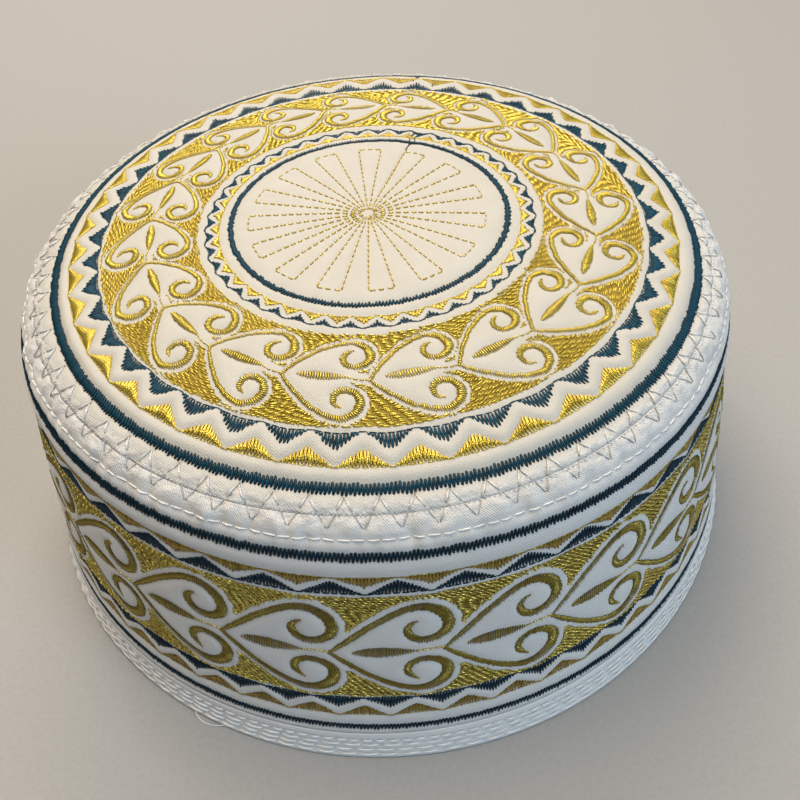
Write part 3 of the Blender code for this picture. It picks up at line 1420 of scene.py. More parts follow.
@dataclass(frozen=True)
class HeartBand:
    """A round of hearts that follow each other along a band of gold fill.

    Attributes:
        first: Angle of the first heart's middle.
        centre: Radius on the crown, or height on the side, of the hearts' middle line.
        low: Run of the band's upper or inner edge.
        high: Run of its lower or outer edge.
        slants: Least and most lean of the rows of fill, in run over arc, before the middle line and past it.
        halo: Bare cloth left between the hearts' satin and the fill.
        pinch: How far along a heart it comes nearest to the band's edges, where the rows are cut.
        dome: Bow of the satin stitches, and what a millimetre of the column's width adds to it.
        fill_step: Step along a row, in degrees.
        fill_shift: How far on a row's stitches start than those of the row before, over a stitch.
        fill_ragged: How far a row's ends stray where it meets bare cloth.
        fill_uneven: How far the breaks between stitches stray, over a stitch.
        fill_stray: How far a stitch's ends stray from its row.
    """

    face: CapFace
    panel: Panel
    heart: Heart
    count: int
    first: float
    centre: float
    low: float
    high: float
    slants: tuple
    halo: float
    pinch: float
    wander: Wander
    dome: tuple = (0.12, 0.1)
    dome_limits: tuple = (0.14, 0.5)
    stem_bow: float = 0.35
    stem_points: int = 8
    fill_spacing: float = 0.4
    fill_stitch: float = 2.0
    fill_width: float = 0.37
    fill_arch: float = 0.2
    fill_step: float = 0.1
    fill_shift: float = 0.38
    fill_bows: tuple = (0.5, 1.6)
    fill_ragged: float = 0.22
    fill_uneven: float = 0.12
    fill_stray: float = 0.18
    fill_least: int = 4
    tones: tuple = (0.0, 1.0)
    satin_tones: tuple = (0.4, 1.0)
    seed: int = 6

    def centres(self) -> Array:
        """Angles of the hearts' middles."""
        return self.first + np.arange(self.count) * TURN / self.count

    @cached_property
    def side_radius(self) -> float:
        """Radius of the hearts' middle line, where the band is on the side."""
        return float(self.face.radius_at(self.face.run_at_height(self.centre)))

    def to_face(self, centre: float, along: Array, across: Array) -> Array:
        """Lay a heart's flat points on the cap's face.

        Args:
            centre: Angle of the heart's middle.
            along: Where the points lie along the motif.
            across: Where they lie across it.

        Returns:
            An (angle, run) row for each point.
        """
        if self.panel is Panel.CROWN:
            radius = np.hypot(along, self.centre + across)
            angle = centre + np.degrees(np.arctan2(along, self.centre + across))
            return np.stack([angle, self.face.run_at_radius(radius)], -1)
        angle = centre + np.degrees(along / self.side_radius)
        return np.stack([angle, self.face.run_at_height(self.centre + across)], -1)

    def from_face(self, centre: Array, angle: Array, run: Array) -> tuple[Array, Array]:
        """Find points of the face on a heart's flat motif.

        Args:
            centre: Angle of each point's heart.
            angle: Angles round the cap.
            run: Runs along the face.

        Returns:
            Where the points lie along and across the motif.
        """
        turn = np.radians(np.mod(angle - centre + TURN / 2, TURN) - TURN / 2)
        radius = self.face.radius_at(run)
        if self.panel is Panel.CROWN:
            return radius * np.sin(turn), radius * np.cos(turn) - self.centre
        return turn * self.side_radius, self.face.height_at(run) - self.centre

    def outside(self, angle: Array, run: Array) -> Array:
        """How far places on the face lie from the nearest heart's satin.

        Args:
            angle: Angles round the cap.
            run: Runs along the face.

        Returns:
            The distances, negative inside a heart.
        """
        centres = self.centres()
        nearest = np.round((angle - self.first) / TURN * self.count).astype(int)
        gaps = []
        for side in (-1, 0, 1):
            centre = centres[(nearest + side) % self.count]
            gaps.append(self.heart.outside(*self.from_face(centre, angle, run)))
        return np.minimum.reduce(gaps)

    def sew_hearts(self) -> Stitches:
        """Sew every heart and leaf.

        Returns:
            The stitches of all the hearts, leaves and stems.
        """
        rng = np.random.default_rng(self.seed)
        starts, ends, widths = self.heart.satin()
        groups = []
        for centre in self.centres():
            start = self.to_face(centre, starts[:, 0], starts[:, 1])
            end = self.to_face(centre, ends[:, 0], ends[:, 1])
            arch = np.clip(self.dome[0] + self.dome[1] * widths, *self.dome_limits)
            tone = rng.uniform(*self.satin_tones, len(start))
            groups.append(Stitches.sewn(start, end, self.heart.width, arch, tone))
        return Stitches.joined(groups + [self.sew_stems()]).wandered(self.wander)

    def sew_stems(self) -> Stitches:
        """The thin running line from each leaf to the next heart's tip.

        Returns:
            The stitches of all the stems.
        """
        row = RunningLine(period=1.1, dash=0.95, width=0.4, arch=0.16)
        along = np.linspace(self.heart.leaf[1] - 0.3, self.heart.stem_end, self.stem_points)
        across = self.stem_bow * np.sin(np.linspace(0, math.pi, self.stem_points))
        return Stitches.joined([row.sew(self.face, self.to_face(centre, along, across))
                                for centre in self.centres()])

    def sew_fill(self) -> Stitches:
        """Rows of short stitches that fill the band round the hearts.

        Returns:
            The stitches of the fill.
        """
        rng = np.random.default_rng(self.seed + 1)
        period = TURN / self.count
        middle = (self.low + self.high) / 2
        radius = float(self.face.radius_at(middle))
        cut = self.first + math.degrees(self.pinch / radius)
        angle = cut + np.arange(0.0, TURN + self.fill_step / 2, self.fill_step)
        swing = np.mod(angle - cut, period) - period / 2
        arc = np.radians(swing) * radius
        turned = np.append(np.diff(swing) < 0, False)
        region = np.floor((angle - cut) / period).astype(int) % self.count
        groups = []
        for upper, leans in zip((True, False), self.slants):
            slant = rng.uniform(*leans, self.count)[region]
            overrun = float(np.abs(slant).max()) * np.radians(period) * radius / 2
            first, last = (self.low, middle) if upper else (middle, self.high)
            rows = np.arange(first - overrun, last + overrun, self.fill_spacing)
            for index, row in enumerate(rows):
                run = row + slant * arc
                held = (run > self.low) & (run < self.high) & ((run < middle) if upper else (run >= middle))
                ragged = self.halo + rng.uniform(-self.fill_ragged, self.fill_ragged)
                held &= (self.outside(angle, run) > ragged) & ~turned
                groups += self.cut_row(angle, run, held, index, rng)
        return Stitches.joined(groups).wandered(self.wander)

    def cut_row(self, angle: Array, run: Array, held: Array, index: int,
                rng: np.random.Generator) -> list[Stitches]:
        """Cut one row of fill into stitches, where it is held.

        Args:
            angle: Angles along the row.
            run: Its run at each.
            held: Where the band is filled.
            index: The row's number, which shifts its stitches from those of its neighbours.
            rng: Source of the small differences between stitches.

        Returns:
            A list with the row's stitches, or an empty one.
        """
        change = np.flatnonzero(np.diff(held.astype(int))) + 1
        edges = np.concatenate([[0], change, [len(angle) - 1]])
        starts, ends = [], []
        for left, right in zip(edges, edges[1:]):
            if not held[left] or right - left < self.fill_least:
                continue
            per = self.fill_stitch / (np.radians(self.fill_step) * float(self.face.radius_at(run[left])))
            offset = (index * self.fill_shift % 1.0) * per
            breaks = np.arange(math.floor((left - offset) / per) + 1, (right - offset) / per) * per + offset
            breaks = breaks + rng.uniform(-self.fill_uneven, self.fill_uneven, len(breaks)) * per
            clear = (breaks > left + self.fill_least) & (breaks < right - self.fill_least)
            stops = np.concatenate([[left], breaks[clear], [right]])
            starts.append(stops[:-1])
            ends.append(stops[1:])
        if not starts:
            return []
        start, end = np.concatenate(starts), np.concatenate(ends)
        ticks = np.arange(len(angle))
        places = [
            np.stack([np.interp(at, ticks, angle), np.interp(at, ticks, run)], -1) for at in (start, end)
        ]
        for ends_of_row in places:
            ends_of_row[:, 1] += rng.uniform(-self.fill_stray, self.fill_stray, len(start))
        arch = self.fill_arch * rng.uniform(*self.fill_bows, len(start))
        return [Stitches.sewn(*places, self.fill_width, arch, rng.uniform(*self.tones, len(start)))]


SMALL_HEART = Heart(
    lobe=(
        Spine(-8.5, 0.1, 0.6), Spine(-6.8, 2.3, 0.85), Spine(-4.7, 4.5, 0.95), Spine(-2.3, 6.6, 1.0),
        Spine(0.3, 8.1, 1.1), Spine(2.4, 8.9, 1.25), Spine(4.2, 9.0, 1.45), Spine(5.8, 8.2, 1.7),
        Spine(6.9, 6.7, 1.9), Spine(7.1, 5.0, 1.8), Spine(6.2, 3.5, 1.6), Spine(4.6, 2.8, 1.5),
        Spine(3.1, 3.0, 1.4), Spine(2.2, 4.1, 1.3), Spine(2.2, 5.4, 1.1), Spine(2.9, 6.4, 0.8),
        Spine(3.8, 6.7, 0.4),
    ),
    scroll_row=11,
    lower_shift=0.2,
    lower_scale=0.95,
    leaf=(-5.6, 4.2, 1.0),
    stem_end=8.1,
    stem_room=1.4,
)

LARGE_HEART = Heart(
    lobe=(
        Spine(-11.8, 0.2, 0.8), Spine(-8.8, 3.2, 1.35), Spine(-4.7, 7.1, 1.5), Spine(-1.5, 9.6, 1.6),
        Spine(1.0, 11.2, 1.75), Spine(3.4, 12.3, 2.0), Spine(5.9, 12.6, 2.3), Spine(8.3, 11.8, 2.6),
        Spine(10.2, 9.8, 2.8), Spine(10.9, 7.3, 2.6), Spine(10.2, 4.9, 2.3), Spine(8.3, 3.4, 2.1),
        Spine(6.2, 3.0, 2.0), Spine(4.3, 3.7, 1.9), Spine(3.2, 5.1, 1.8), Spine(3.0, 6.7, 1.6),
        Spine(3.8, 8.1, 1.1), Spine(5.0, 8.9, 0.5),
    ),
    scroll_row=11,
    lower_shift=-0.6,
    lower_scale=0.98,
    leaf=(-7.9, 4.6, 1.6),
    stem_end=10.2,
    stem_room=2.0,
)

# One cream twill in three copies: the crown's is painted darker, painted shade that offsets the strong light
# on the top; the hem's is lighter, painted light that lifts it out of its shade; the side's colour under the
# gold fill is darker than the crown's, painted shade.
CREAM_CROWN = TwillCloth("cream_twill_crown", dark=(0.49, 0.455, 0.39), bright=(0.67, 0.64, 0.575),
                         underlay=(0.36, 0.25, 0.035))
CREAM_SIDE = TwillCloth("cream_twill_side", dark=(0.53, 0.51, 0.48), underlay=(0.27, 0.185, 0.025),
                        ridge_slope=-1.0, ridge_shade=0.34, ridge_height=0.62)
CREAM_HEM = TwillCloth("cream_twill_hem", dark=(0.70, 0.68, 0.65), bright=(0.92, 0.90, 0.87),
                       ridge_slope=-1.0, ridge_shade=0.3, ridge_height=0.5)
# GOLD and NAVY are the crown's threads. SHADED_GOLD, the side trim's gold and SHADED_NAVY are darker copies
# of the same gold and navy for the side: painted shade of the side, which faces away from the main light.
GOLD = Thread("gold_thread", dark=(0.24, 0.14, 0.008), bright=(1.0, 0.80, 0.13), roughness=0.3, metallic=0.55)
SHADED_GOLD = Thread("shaded_gold_thread", dark=(0.055, 0.034, 0.003), bright=(1.0, 0.77, 0.17),
                     roughness=0.27, metallic=0.7)
SHADED_TRIM_GOLD = Thread("shaded_trim_gold_thread", dark=(0.055, 0.030, 0.003), bright=(0.86, 0.60, 0.12),
                    roughness=0.34, metallic=0.5)
NAVY = Thread("navy_thread", dark=(0.001, 0.006, 0.014), bright=(0.013, 0.105, 0.165),
              roughness=0.5, metallic=0.0, specular=0.25)
SHADED_NAVY = Thread("shaded_navy_thread", dark=(0.0006, 0.003, 0.007), bright=(0.008, 0.056, 0.094),
                     roughness=0.5, metallic=0.0, specular=0.22)
WHITE = Thread("white_thread", dark=(0.80, 0.77, 0.73), bright=(0.98, 0.95, 0.91), roughness=0.34,
               metallic=0.0, specular=0.7)
SEAM_THREAD = Thread("seam_thread", dark=(0.16, 0.16, 0.155), bright=(0.93, 0.91, 0.87), roughness=0.35,
                     metallic=0.0)


@dataclass
class SewnPiece:
    """One group of stitches that becomes one piece, its thread, and how hard it holds the cloth down."""

    name: str
    stitches: Stitches
    thread: Thread
    pull: float = 1.0
    underlaid: bool = False


@dataclass
class Crown:
    """The crown: its cloth, petals, rings, zigzags and the band of small hearts.

    Attributes:
        plain_runs: First and last run of the cloth's rounds within the medallion, and their number.
        band_runs: The same of the rounds of the bands, and their step.
        seam_play: Gap between the cloth and the seam.
        petal_crowding: How much farther round than even the petals at the back stand, in degrees.
        petal_middle: Middle of the petals' outer ends, as x and y.
        hole_middle: Middle of the hole, likewise.
        doubled_angle: Angle of the petal line that is sewn twice.
        doubled_waves: Waves of its second line, in radians.
        tangle_turn: How far a thread of the tangle turns round the hole, in degrees.
        medallion_ring: Inner and outer radius and teeth of the navy ring round the petals.
        outer_ring: The same of the ring near the seam.
    """

    face: CapFace
    wall: float = 2.5
    steps: int = 1020
    plain_runs: tuple = (0.0, 29.0, 16)
    band_runs: tuple = (30.0, 66.0, 0.8)
    edge_step: float = 0.5
    edge_gap: float = 0.3
    inner_rounds: int = 6
    seam_play: float = 0.006
    petals: int = 15
    petal_first: float = 2.5
    petal_half: float = 5.85
    petal_crowding: float = 3.0
    petal_inner: float = 2.6
    petal_outer: float = 26.4
    petal_middle: tuple = (-0.45, -0.7)
    petal_points: int = 40
    doubled_angle: float = 157.6
    doubled_start: float = 2.5
    doubled_bow: float = 0.5
    doubled_waves: float = 9.0
    hole: float = 1.0
    hole_middle: tuple = (-0.1, 0.0)
    tangle: int = 90
    tangle_reach: float = 2.4
    tangle_turn: float = 9.0
    medallion_ring: tuple = (30.0, 31.55, 278)
    outer_ring: tuple = (70.0, 72.3, 606)
    zigzags: int = 42
    hearts: int = 19

    def cloth(self) -> ClothPanel:
        """The crown's cloth.

        Returns:
            The cloth's wall.
        """
        seam = self.face.seam_run
        edge = self.band_runs[1]
        outer = np.concatenate([
            np.linspace(*self.plain_runs), np.arange(*self.band_runs),
            np.arange(edge, seam - self.edge_gap, self.edge_step), [seam - self.seam_play],
        ])
        inner = np.append(np.linspace(0.0, edge, self.inner_rounds), seam - self.seam_play)
        return ClothPanel("crown_cloth", "crown_panel", "crown_cloth", outer, inner, self.wall, self.steps,
                          flat=True)

    def on_crown(self, angle: Array, radius: Array) -> Array:
        """Place points about the petals' middle, a little off the cap's.

        Args:
            angle: Angles round the petals' middle.
            radius: Distances from it.

        Returns:
            An (angle, run) row for each point.
        """
        turn, share = np.radians(angle), radius / self.petal_outer
        middle = [a + (b - a) * share for a, b in zip(self.hole_middle, self.petal_middle)]
        x = middle[0] + radius * np.sin(turn)
        y = middle[1] - radius * np.cos(turn)
        angle = np.degrees(np.unwrap(np.arctan2(x, -y)))
        return np.stack([angle, self.face.run_at_radius(np.hypot(x, y))], -1)

    def sew_petals(self) -> Stitches:
        """Sew the dashed outline of every petal.

        Returns:
            The stitches of the petals, of the line that is sewn twice and of the tangle in the middle.
        """
        rows, groups = RunningLine(period=1.72, dash=0.76, width=0.42, arch=0.16, tones=(0.0, 0.5)), []
        share = np.linspace(0, 1, self.petal_points)
        for petal in range(self.petals):
            middle = self.petal_first + petal * TURN / self.petals
            middle += self.petal_crowding * (1 - math.cos(math.radians(middle)))
            left, right = middle - self.petal_half, middle + self.petal_half
            outline = [(left, self.petal_inner), (left, self.petal_outer), (right, self.petal_outer),
                       (right, self.petal_inner)]
            for start, end in zip(outline, outline[1:]):
                angle = start[0] + share * (end[0] - start[0])
                radius = start[1] + share * (end[1] - start[1])
                groups.append(rows.sew(self.face, self.on_crown(angle, radius)))
        bow = np.sin(np.linspace(0, self.doubled_waves, self.petal_points)) * self.doubled_bow
        radius = np.linspace(self.doubled_start, self.petal_outer, self.petal_points)
        groups.append(rows.sew(self.face, self.on_crown(self.doubled_angle + bow, radius)))
        groups.append(self.sew_tangle())
        return Stitches.joined(groups).wandered(Wander(Swing(0.2, 1.2, -20.0)))

    def sew_tangle(self) -> Stitches:
        """Sew the short crossing gold threads round the hole in the middle.

        Returns:
            The tangle's stitches.
        """
        rng = np.random.default_rng(11)
        count = self.tangle
        angle = rng.uniform(0, TURN, count)
        near = rng.uniform(self.hole, self.hole + self.tangle_reach * rng.uniform(0.2, 1.0, count))
        inner = self.on_crown(angle, near)
        turned = angle + rng.uniform(-self.tangle_turn, self.tangle_turn, count)
        outer = self.on_crown(turned, near + rng.uniform(0.5, 1.1, count))
        outer[:, 0] += TURN * np.round((inner[:, 0] - outer[:, 0]) / TURN)
        arch, tone = rng.uniform(0.1, 0.25, count), rng.uniform(0, 0.7, count)
        return Stitches.sewn(inner, outer, 0.22, arch, tone)

    def sew_jumps(self) -> Stitches:
        """Dark threads left lying where the needle jumped from one place to the next, at the back.

        Returns:
            The threads, as stitches that follow each other.
        """
        run = self.face.run_at_radius
        paths = [
            [(157.0, 26.0), (157.4, 28.0), (156.4, 30.0), (158.4, 31.4), (159.2, 33.6), (158.0, 35.0),
             (160.2, 36.4)],
            [(156.0, 31.6), (157.4, 33.0), (156.2, 34.2), (155.2, 35.6)],
            [(166.4, 64.6), (166.6, 66.6), (165.6, 68.2), (165.2, 70.2)],
            [(161.2, 62.4), (161.5, 64.4), (161.9, 66.6)],
        ]
        starts = [(angle, run(radius)) for path in paths for angle, radius in path[:-1]]
        ends = [(angle, run(radius)) for path in paths for angle, radius in path[1:]]
        return Stitches.sewn(np.array(starts), np.array(ends), width=0.3, arch=0.25, tone=0.1)

    def band(self) -> HeartBand:
        """The band of small hearts.

        Returns:
            The band.
        """
        run = self.face.run_at_radius
        wander = Wander(Swing(0.81, 2.26, 157.0, 0.33, -4.0), Swing(-0.23, 0.52, 19.0, 0.19, 0.0))
        return HeartBand(
            self.face, Panel.CROWN, SMALL_HEART, self.hearts, first=7.95, centre=49.3, low=float(run(38.7)),
            high=float(run(60.2)), slants=((-0.3, 0.25), (-0.45, 0.15)), halo=0.6, pinch=3.6, wander=wander,
            dome=(0.14, 0.19), tones=(0.5, 1.0),
        )

    def sew(self) -> list[SewnPiece]:
        """Sew everything on the crown.

        Returns:
            The crown's embroidery, piece by piece.
        """
        run = self.face.run_at_radius
        band = self.band()
        small = Wander(Swing(1.16, 1.4, -145.0), Swing(0.0, 0.68, 10.0))
        large = Wander(Swing(0.78, 1.18, -174.5, 0.5, 31.0), Swing(-0.4, 0.5, 55.0, 0.35, 20.0))
        medallion = Wander(out=Swing(0.03, 0.15, 9.0))
        edge = Wander(out=Swing(-0.45, 1.2, 53.0, 0.15, 65.0))
        count = self.zigzags
        small_gold = TriangleRow(run(33.4), run(35.6), count, first=4.0, spread=0.92, shape=0.95, teeth=9,
                                 width=0.42, wander=small, seed=21)
        small_navy = TriangleRow(run(36.3), run(34.5), count, first=8.3, spread=0.85, shape=1.0, teeth=9,
                                 sag=0.5, wander=small, seed=22)
        large_navy = TriangleRow(run(61.5), run(65.3), count, first=0.5, spread=0.96, shape=0.95, teeth=14,
                                 raggedness=0.32, sag=0.3, wander=large, seed=23)
        large_gold = TriangleRow(run(67.8), run(64.0), count, first=4.8, spread=0.94, shape=0.88,
                                 width=0.45, wander=large, seed=24)
        inner, outer, teeth = self.medallion_ring
        small_ring = SatinRing(run(inner), run(outer), teeth, wander=medallion, seed=25)
        inner, outer, teeth = self.outer_ring
        large_ring = SatinRing(run(inner), run(outer), teeth, wander=edge, seed=26)
        gold = [self.sew_petals(), small_gold.sew(self.face), large_gold.sew(self.face)]
        navy = [small_ring.sew(), large_ring.sew(), small_navy.sew(self.face), large_navy.sew(self.face),
                self.sew_jumps()]
        return [
            SewnPiece("crown_gold_trim", Stitches.joined(gold), GOLD),
            SewnPiece("crown_navy_trim", Stitches.joined(navy), NAVY),
            SewnPiece("crown_gold_fill", band.sew_fill(), GOLD, underlaid=True),
            SewnPiece("crown_hearts", band.sew_hearts(), GOLD),
        ]


@dataclass
class Side:
    """The side: its cloth, rings, zigzags, the band of large hearts and the shoulder's white stitching.

    Attributes:
        shoulder_runs: First and last run past the seam of the shoulder's rounds, and their step.
        side_start: Run past the seam of the first round below them.
        inner_start: Run past the seam of the inner face's second round.
        zigzag_foot: Height of the seam zigzag's lower points.
        zigzag_top: Radius of its upper points.
        zigzag_lag: How far those stand before the middle between two lower ones, in degrees.
    """

    face: CapFace
    wall: float = 2.5
    steps: int = 1000
    hem_top: float = 8.5
    seam_play: float = 0.006
    shoulder_runs: tuple = (0.4, 8.0, 0.5)
    side_start: float = 8.4
    side_rounds: int = 68
    inner_start: float = 4.0
    inner_rounds: int = 6
    hearts: int = 24
    upper_zigzags: int = 42
    lower_zigzags: int = 51
    zigzag_foot: float = 67.2
    zigzag_top: float = 72.1
    zigzag_lag: float = 0.3

    def cloth(self) -> ClothPanel:
        """The side's cloth.

        Returns:
            The cloth's wall.
        """
        seam, end = self.face.seam_run, float(self.face.run_at_height(self.hem_top))
        first, last, step = self.shoulder_runs
        outer = np.concatenate([[seam + self.seam_play], np.arange(seam + first, seam + last, step),
                                np.linspace(seam + self.side_start, end, self.side_rounds)])
        inner = np.linspace(seam + self.inner_start, end, self.inner_rounds)
        inner = np.append(seam + self.seam_play, inner)
        return ClothPanel("side_cloth", "side_panel", "side_cloth", outer, inner, self.wall, self.steps)

    def band(self) -> HeartBand:
        """The band of large hearts.

        Returns:
            The band.
        """
        run = self.face.run_at_height
        wander = Wander(Swing(0.2, 0.35, 80.0), Swing(0.5, 0.6, 90.0, 0.2, 60.0))
        # The side's fill and satin take lower tones than the crown's: painted shade of the side, the satin's
        # most of all.
        return HeartBand(
            self.face, Panel.SIDE, LARGE_HEART, self.hearts, first=13.1, centre=36.6, low=float(run(52.5)),
            high=float(run(21.5)), slants=((0.3, 0.4), (0.25, 0.35)), halo=1.15, pinch=5.0, wander=wander,
            tones=(0.3, 1.0), satin_tones=(0.0, 0.3), seed=8,
        )

    def sew_zigzag(self) -> Stitches:
        """Sew the zigzag over the seam, one point for every pucker: light thread above, and below a darker
        stitch, partly painted shade of the crease.

        Returns:
            Its stitches, the small ones along the seam, and dark marks of painted shade in the needle holes
            of its upper points.
        """
        angles = self.face.pucker_angles
        low = float(self.face.run_at_height(self.zigzag_foot))
        high = float(self.face.run_at_radius(self.zigzag_top))
        outer = np.stack([angles, np.full(len(angles), low)], -1)
        between = (angles[:-1] + angles[1:]) / 2 - self.zigzag_lag
        inner = np.stack([between, np.full(len(between), high)], -1)
        rng = np.random.default_rng(38)
        groups = []
        for start, end in ((inner, outer[:-1]), (inner, outer[1:])):
            share = rng.uniform(0.42, 0.6, (len(start), 1))
            middle = start + share * (end - start)
            groups.append(Stitches.sewn(start, middle, width=0.46, arch=0.32, tone=1.0))
            # The lower halves get a thinner, dark stitch: partly the see-through thread, partly painted shade
            # of the crease below the seam.
            groups.append(Stitches.sewn(middle, end, width=0.26, arch=0.2, tone=0.25))
        dips = RunningLine(period=0.9, dash=0.5, width=0.24, arch=0.12, tones=(0.75, 1.0), seed=39)
        groups.append(dips.sew(self.face, level_round(self.face.seam_run - 0.3)))
        # Dark marks at the upper points: painted shade in the needle holes.
        hole_shades = inner[::2] + np.array([0.0, -0.3])
        groups.append(Stitches.sewn(hole_shades, hole_shades + np.array([0.1, 0.45]), width=0.4, arch=0.1, tone=0.0))
        return Stitches.joined(groups).wandered(Wander(out=Swing(0.1, 0.6, 75.0)))

    def sew_round(self, height: float, row: RunningLine) -> Stitches:
        """A row of running stitches right round the cap at a height."""
        return row.sew(self.face, level_round(float(self.face.run_at_height(height))))

    def sew(self) -> list[SewnPiece]:
        """Sew everything on the side.

        Returns:
            The side's embroidery, piece by piece.
        """
        run = self.face.run_at_height
        band = self.band()
        upper = Wander(out=Swing(0.3, 0.7, 95.0, 0.2, 70.0))
        lower = Wander(Swing(0.3), Swing(0.6, 0.2, 90.0))
        high = upper._replace(out=Swing(0.3, 1.3, 95.0, 0.2, 70.0))
        top, bottom = Wander(out=Swing(0.1, 0.9, 95.0, 0.3, 70.0)), Wander(out=Swing(0.1, 0.6, 90.0))
        # shade: lower tones for the side's gold triangles, painted shade of the side under the light from
        # above.
        count, shade = self.upper_zigzags, (0.0, 0.6)
        upper_gold = TriangleRow(run(57.6), run(54.5), count, first=4.0, spread=0.96, shape=0.9, teeth=19,
                                 width=0.42, tones=shade, wander=high, seed=31)
        upper_navy = TriangleRow(run(52.9), run(56.9), count, first=-0.3, spread=1.0, shape=0.9, teeth=19,
                                 wander=upper, seed=32)
        count = self.lower_zigzags
        lower_navy = TriangleRow(run(21.3), run(17.5), count, first=-3.0, spread=1.0, shape=0.95, teeth=17,
                                 wander=lower, seed=33)
        lower_gold = TriangleRow(run(15.4), run(19.0), count, first=0.5, spread=0.96, shape=1.0, teeth=17,
                                 width=0.42, tones=shade, wander=lower, seed=34)
        upper_ring = SatinRing(run(63.5), run(61.2), teeth=689, width=0.35, wander=top, seed=35)
        lower_ring = SatinRing(run(11.6), run(9.5), teeth=753, width=0.33, wander=bottom, seed=36)
        gold = [upper_gold.sew(self.face), lower_gold.sew(self.face)]
        navy = [upper_navy.sew(self.face), lower_navy.sew(self.face), upper_ring.sew(), lower_ring.sew()]
        row = RunningLine(period=2.6, dash=0.98, width=0.36, arch=0.24, seed=37)
        topstitch = self.sew_round(65.5, row).wandered(Wander(out=Swing(0.0, 0.7, 110.0)))
        return [
            SewnPiece("side_gold_trim", Stitches.joined(gold), SHADED_TRIM_GOLD),
            SewnPiece("side_navy_trim", Stitches.joined(navy), SHADED_NAVY),
            SewnPiece("side_gold_fill", band.sew_fill(), SHADED_GOLD, underlaid=True),
            SewnPiece("side_hearts", band.sew_hearts(), SHADED_GOLD),
            SewnPiece("seam_zigzag", self.sew_zigzag(), SEAM_THREAD, pull=1.5),
            SewnPiece("shoulder_stitching", topstitch, WHITE, pull=3.0),
        ]


@dataclass
class Hem:
    """The hem: its doubled cloth and its four rows of white running stitch.

    Attributes:
        side_gap: Gap to the side's cloth.
        row_turn: How much farther round each row starts than the one above it, in degrees.
        rows: Height, length of a stitch with its gap, and the stitch's share of that, for each row.
    """

    face: CapFace
    wall: float = 3.0
    steps: int = 640
    top: float = 8.5
    bottom: float = 0.3
    side_gap: float = 0.1
    outer_rounds: int = 22
    inner_rounds: int = 5
    row_turn: float = 77.7
    loop_radius: float = 0.14
    rows: tuple = ((5.8, 2.85, 0.9), (4.15, 4.45, 1.02), (2.6, 4.3, 1.02), (1.1, 4.6, 1.02))

    def cloth(self) -> ClothPanel:
        """The hem's cloth.

        Returns:
            The cloth's wall.
        """
        start = float(self.face.run_at_height(self.top))
        end = float(self.face.run_at_height(self.bottom))
        outer = np.linspace(start + self.side_gap, end, self.outer_rounds)
        inner = np.linspace(start + self.side_gap, end, self.inner_rounds)
        return ClothPanel("hem_cloth", "hem_band", "hem_cloth", outer, inner, self.wall, self.steps)

    def sew(self) -> list[SewnPiece]:
        """Sew the hem's rows.

        Returns:
            The hem's four rows, as one piece.
        """
        groups = []
        for number, (height, period, dash) in enumerate(self.rows):
            places = level_round(float(self.face.run_at_height(height)), self.row_turn * number)
            row = RunningLine(period, dash, width=0.44, arch=0.32, unevenness=0.15, seed=41 + number)
            groups.append(row.sew(self.face, places))
        return [SewnPiece("hem_stitching", Stitches.joined(groups), WHITE, pull=3.2)]

    def loose_loop(self) -> Object:
        """Lay a loop of white thread that hangs out from under the hem onto the floor.

        Returns:
            The new piece.
        """
        path = [(-32.9, 90.6, 0.8), (-32.3, 91.6, 0.5), (-31.4, 92.4, 0.3), (-30.2, 92.7, 0.2),
                (-28.9, 92.3, 0.2), (-27.8, 91.6, 0.3), (-26.9, 90.8, 0.8)]
        bpy.ops.object.select_all(action="DESELECT")
        bpy.ops.curve.primitive_nurbs_path_add()
        loop = bpy.context.object
        loop.name = loop.data.name = "loose_loop"
        loop.data.bevel_depth, loop.data.bevel_resolution = self.loop_radius * MM, 2
        loop.data.use_fill_caps = True
        spline = loop.data.splines[0]
        spline.points.add(len(path) - len(spline.points))
        for point, (angle, radius, height) in zip(spline.points, path):
            turn = math.radians(angle)
            place = Vector((radius * math.sin(turn), -radius * math.cos(turn), height)) * MM
            point.co = (*place, 1.0)
        spline.use_endpoint_u, spline.order_u = True, 4
        bpy.ops.object.convert(target="MESH")
        return bpy.context.object


class Lamp(NamedTuple):
    """A square lamp: its name, place and size in metres, power in watts, and colour."""

    name: str
    place: tuple
    size: float
    power: float
    colour: tuple


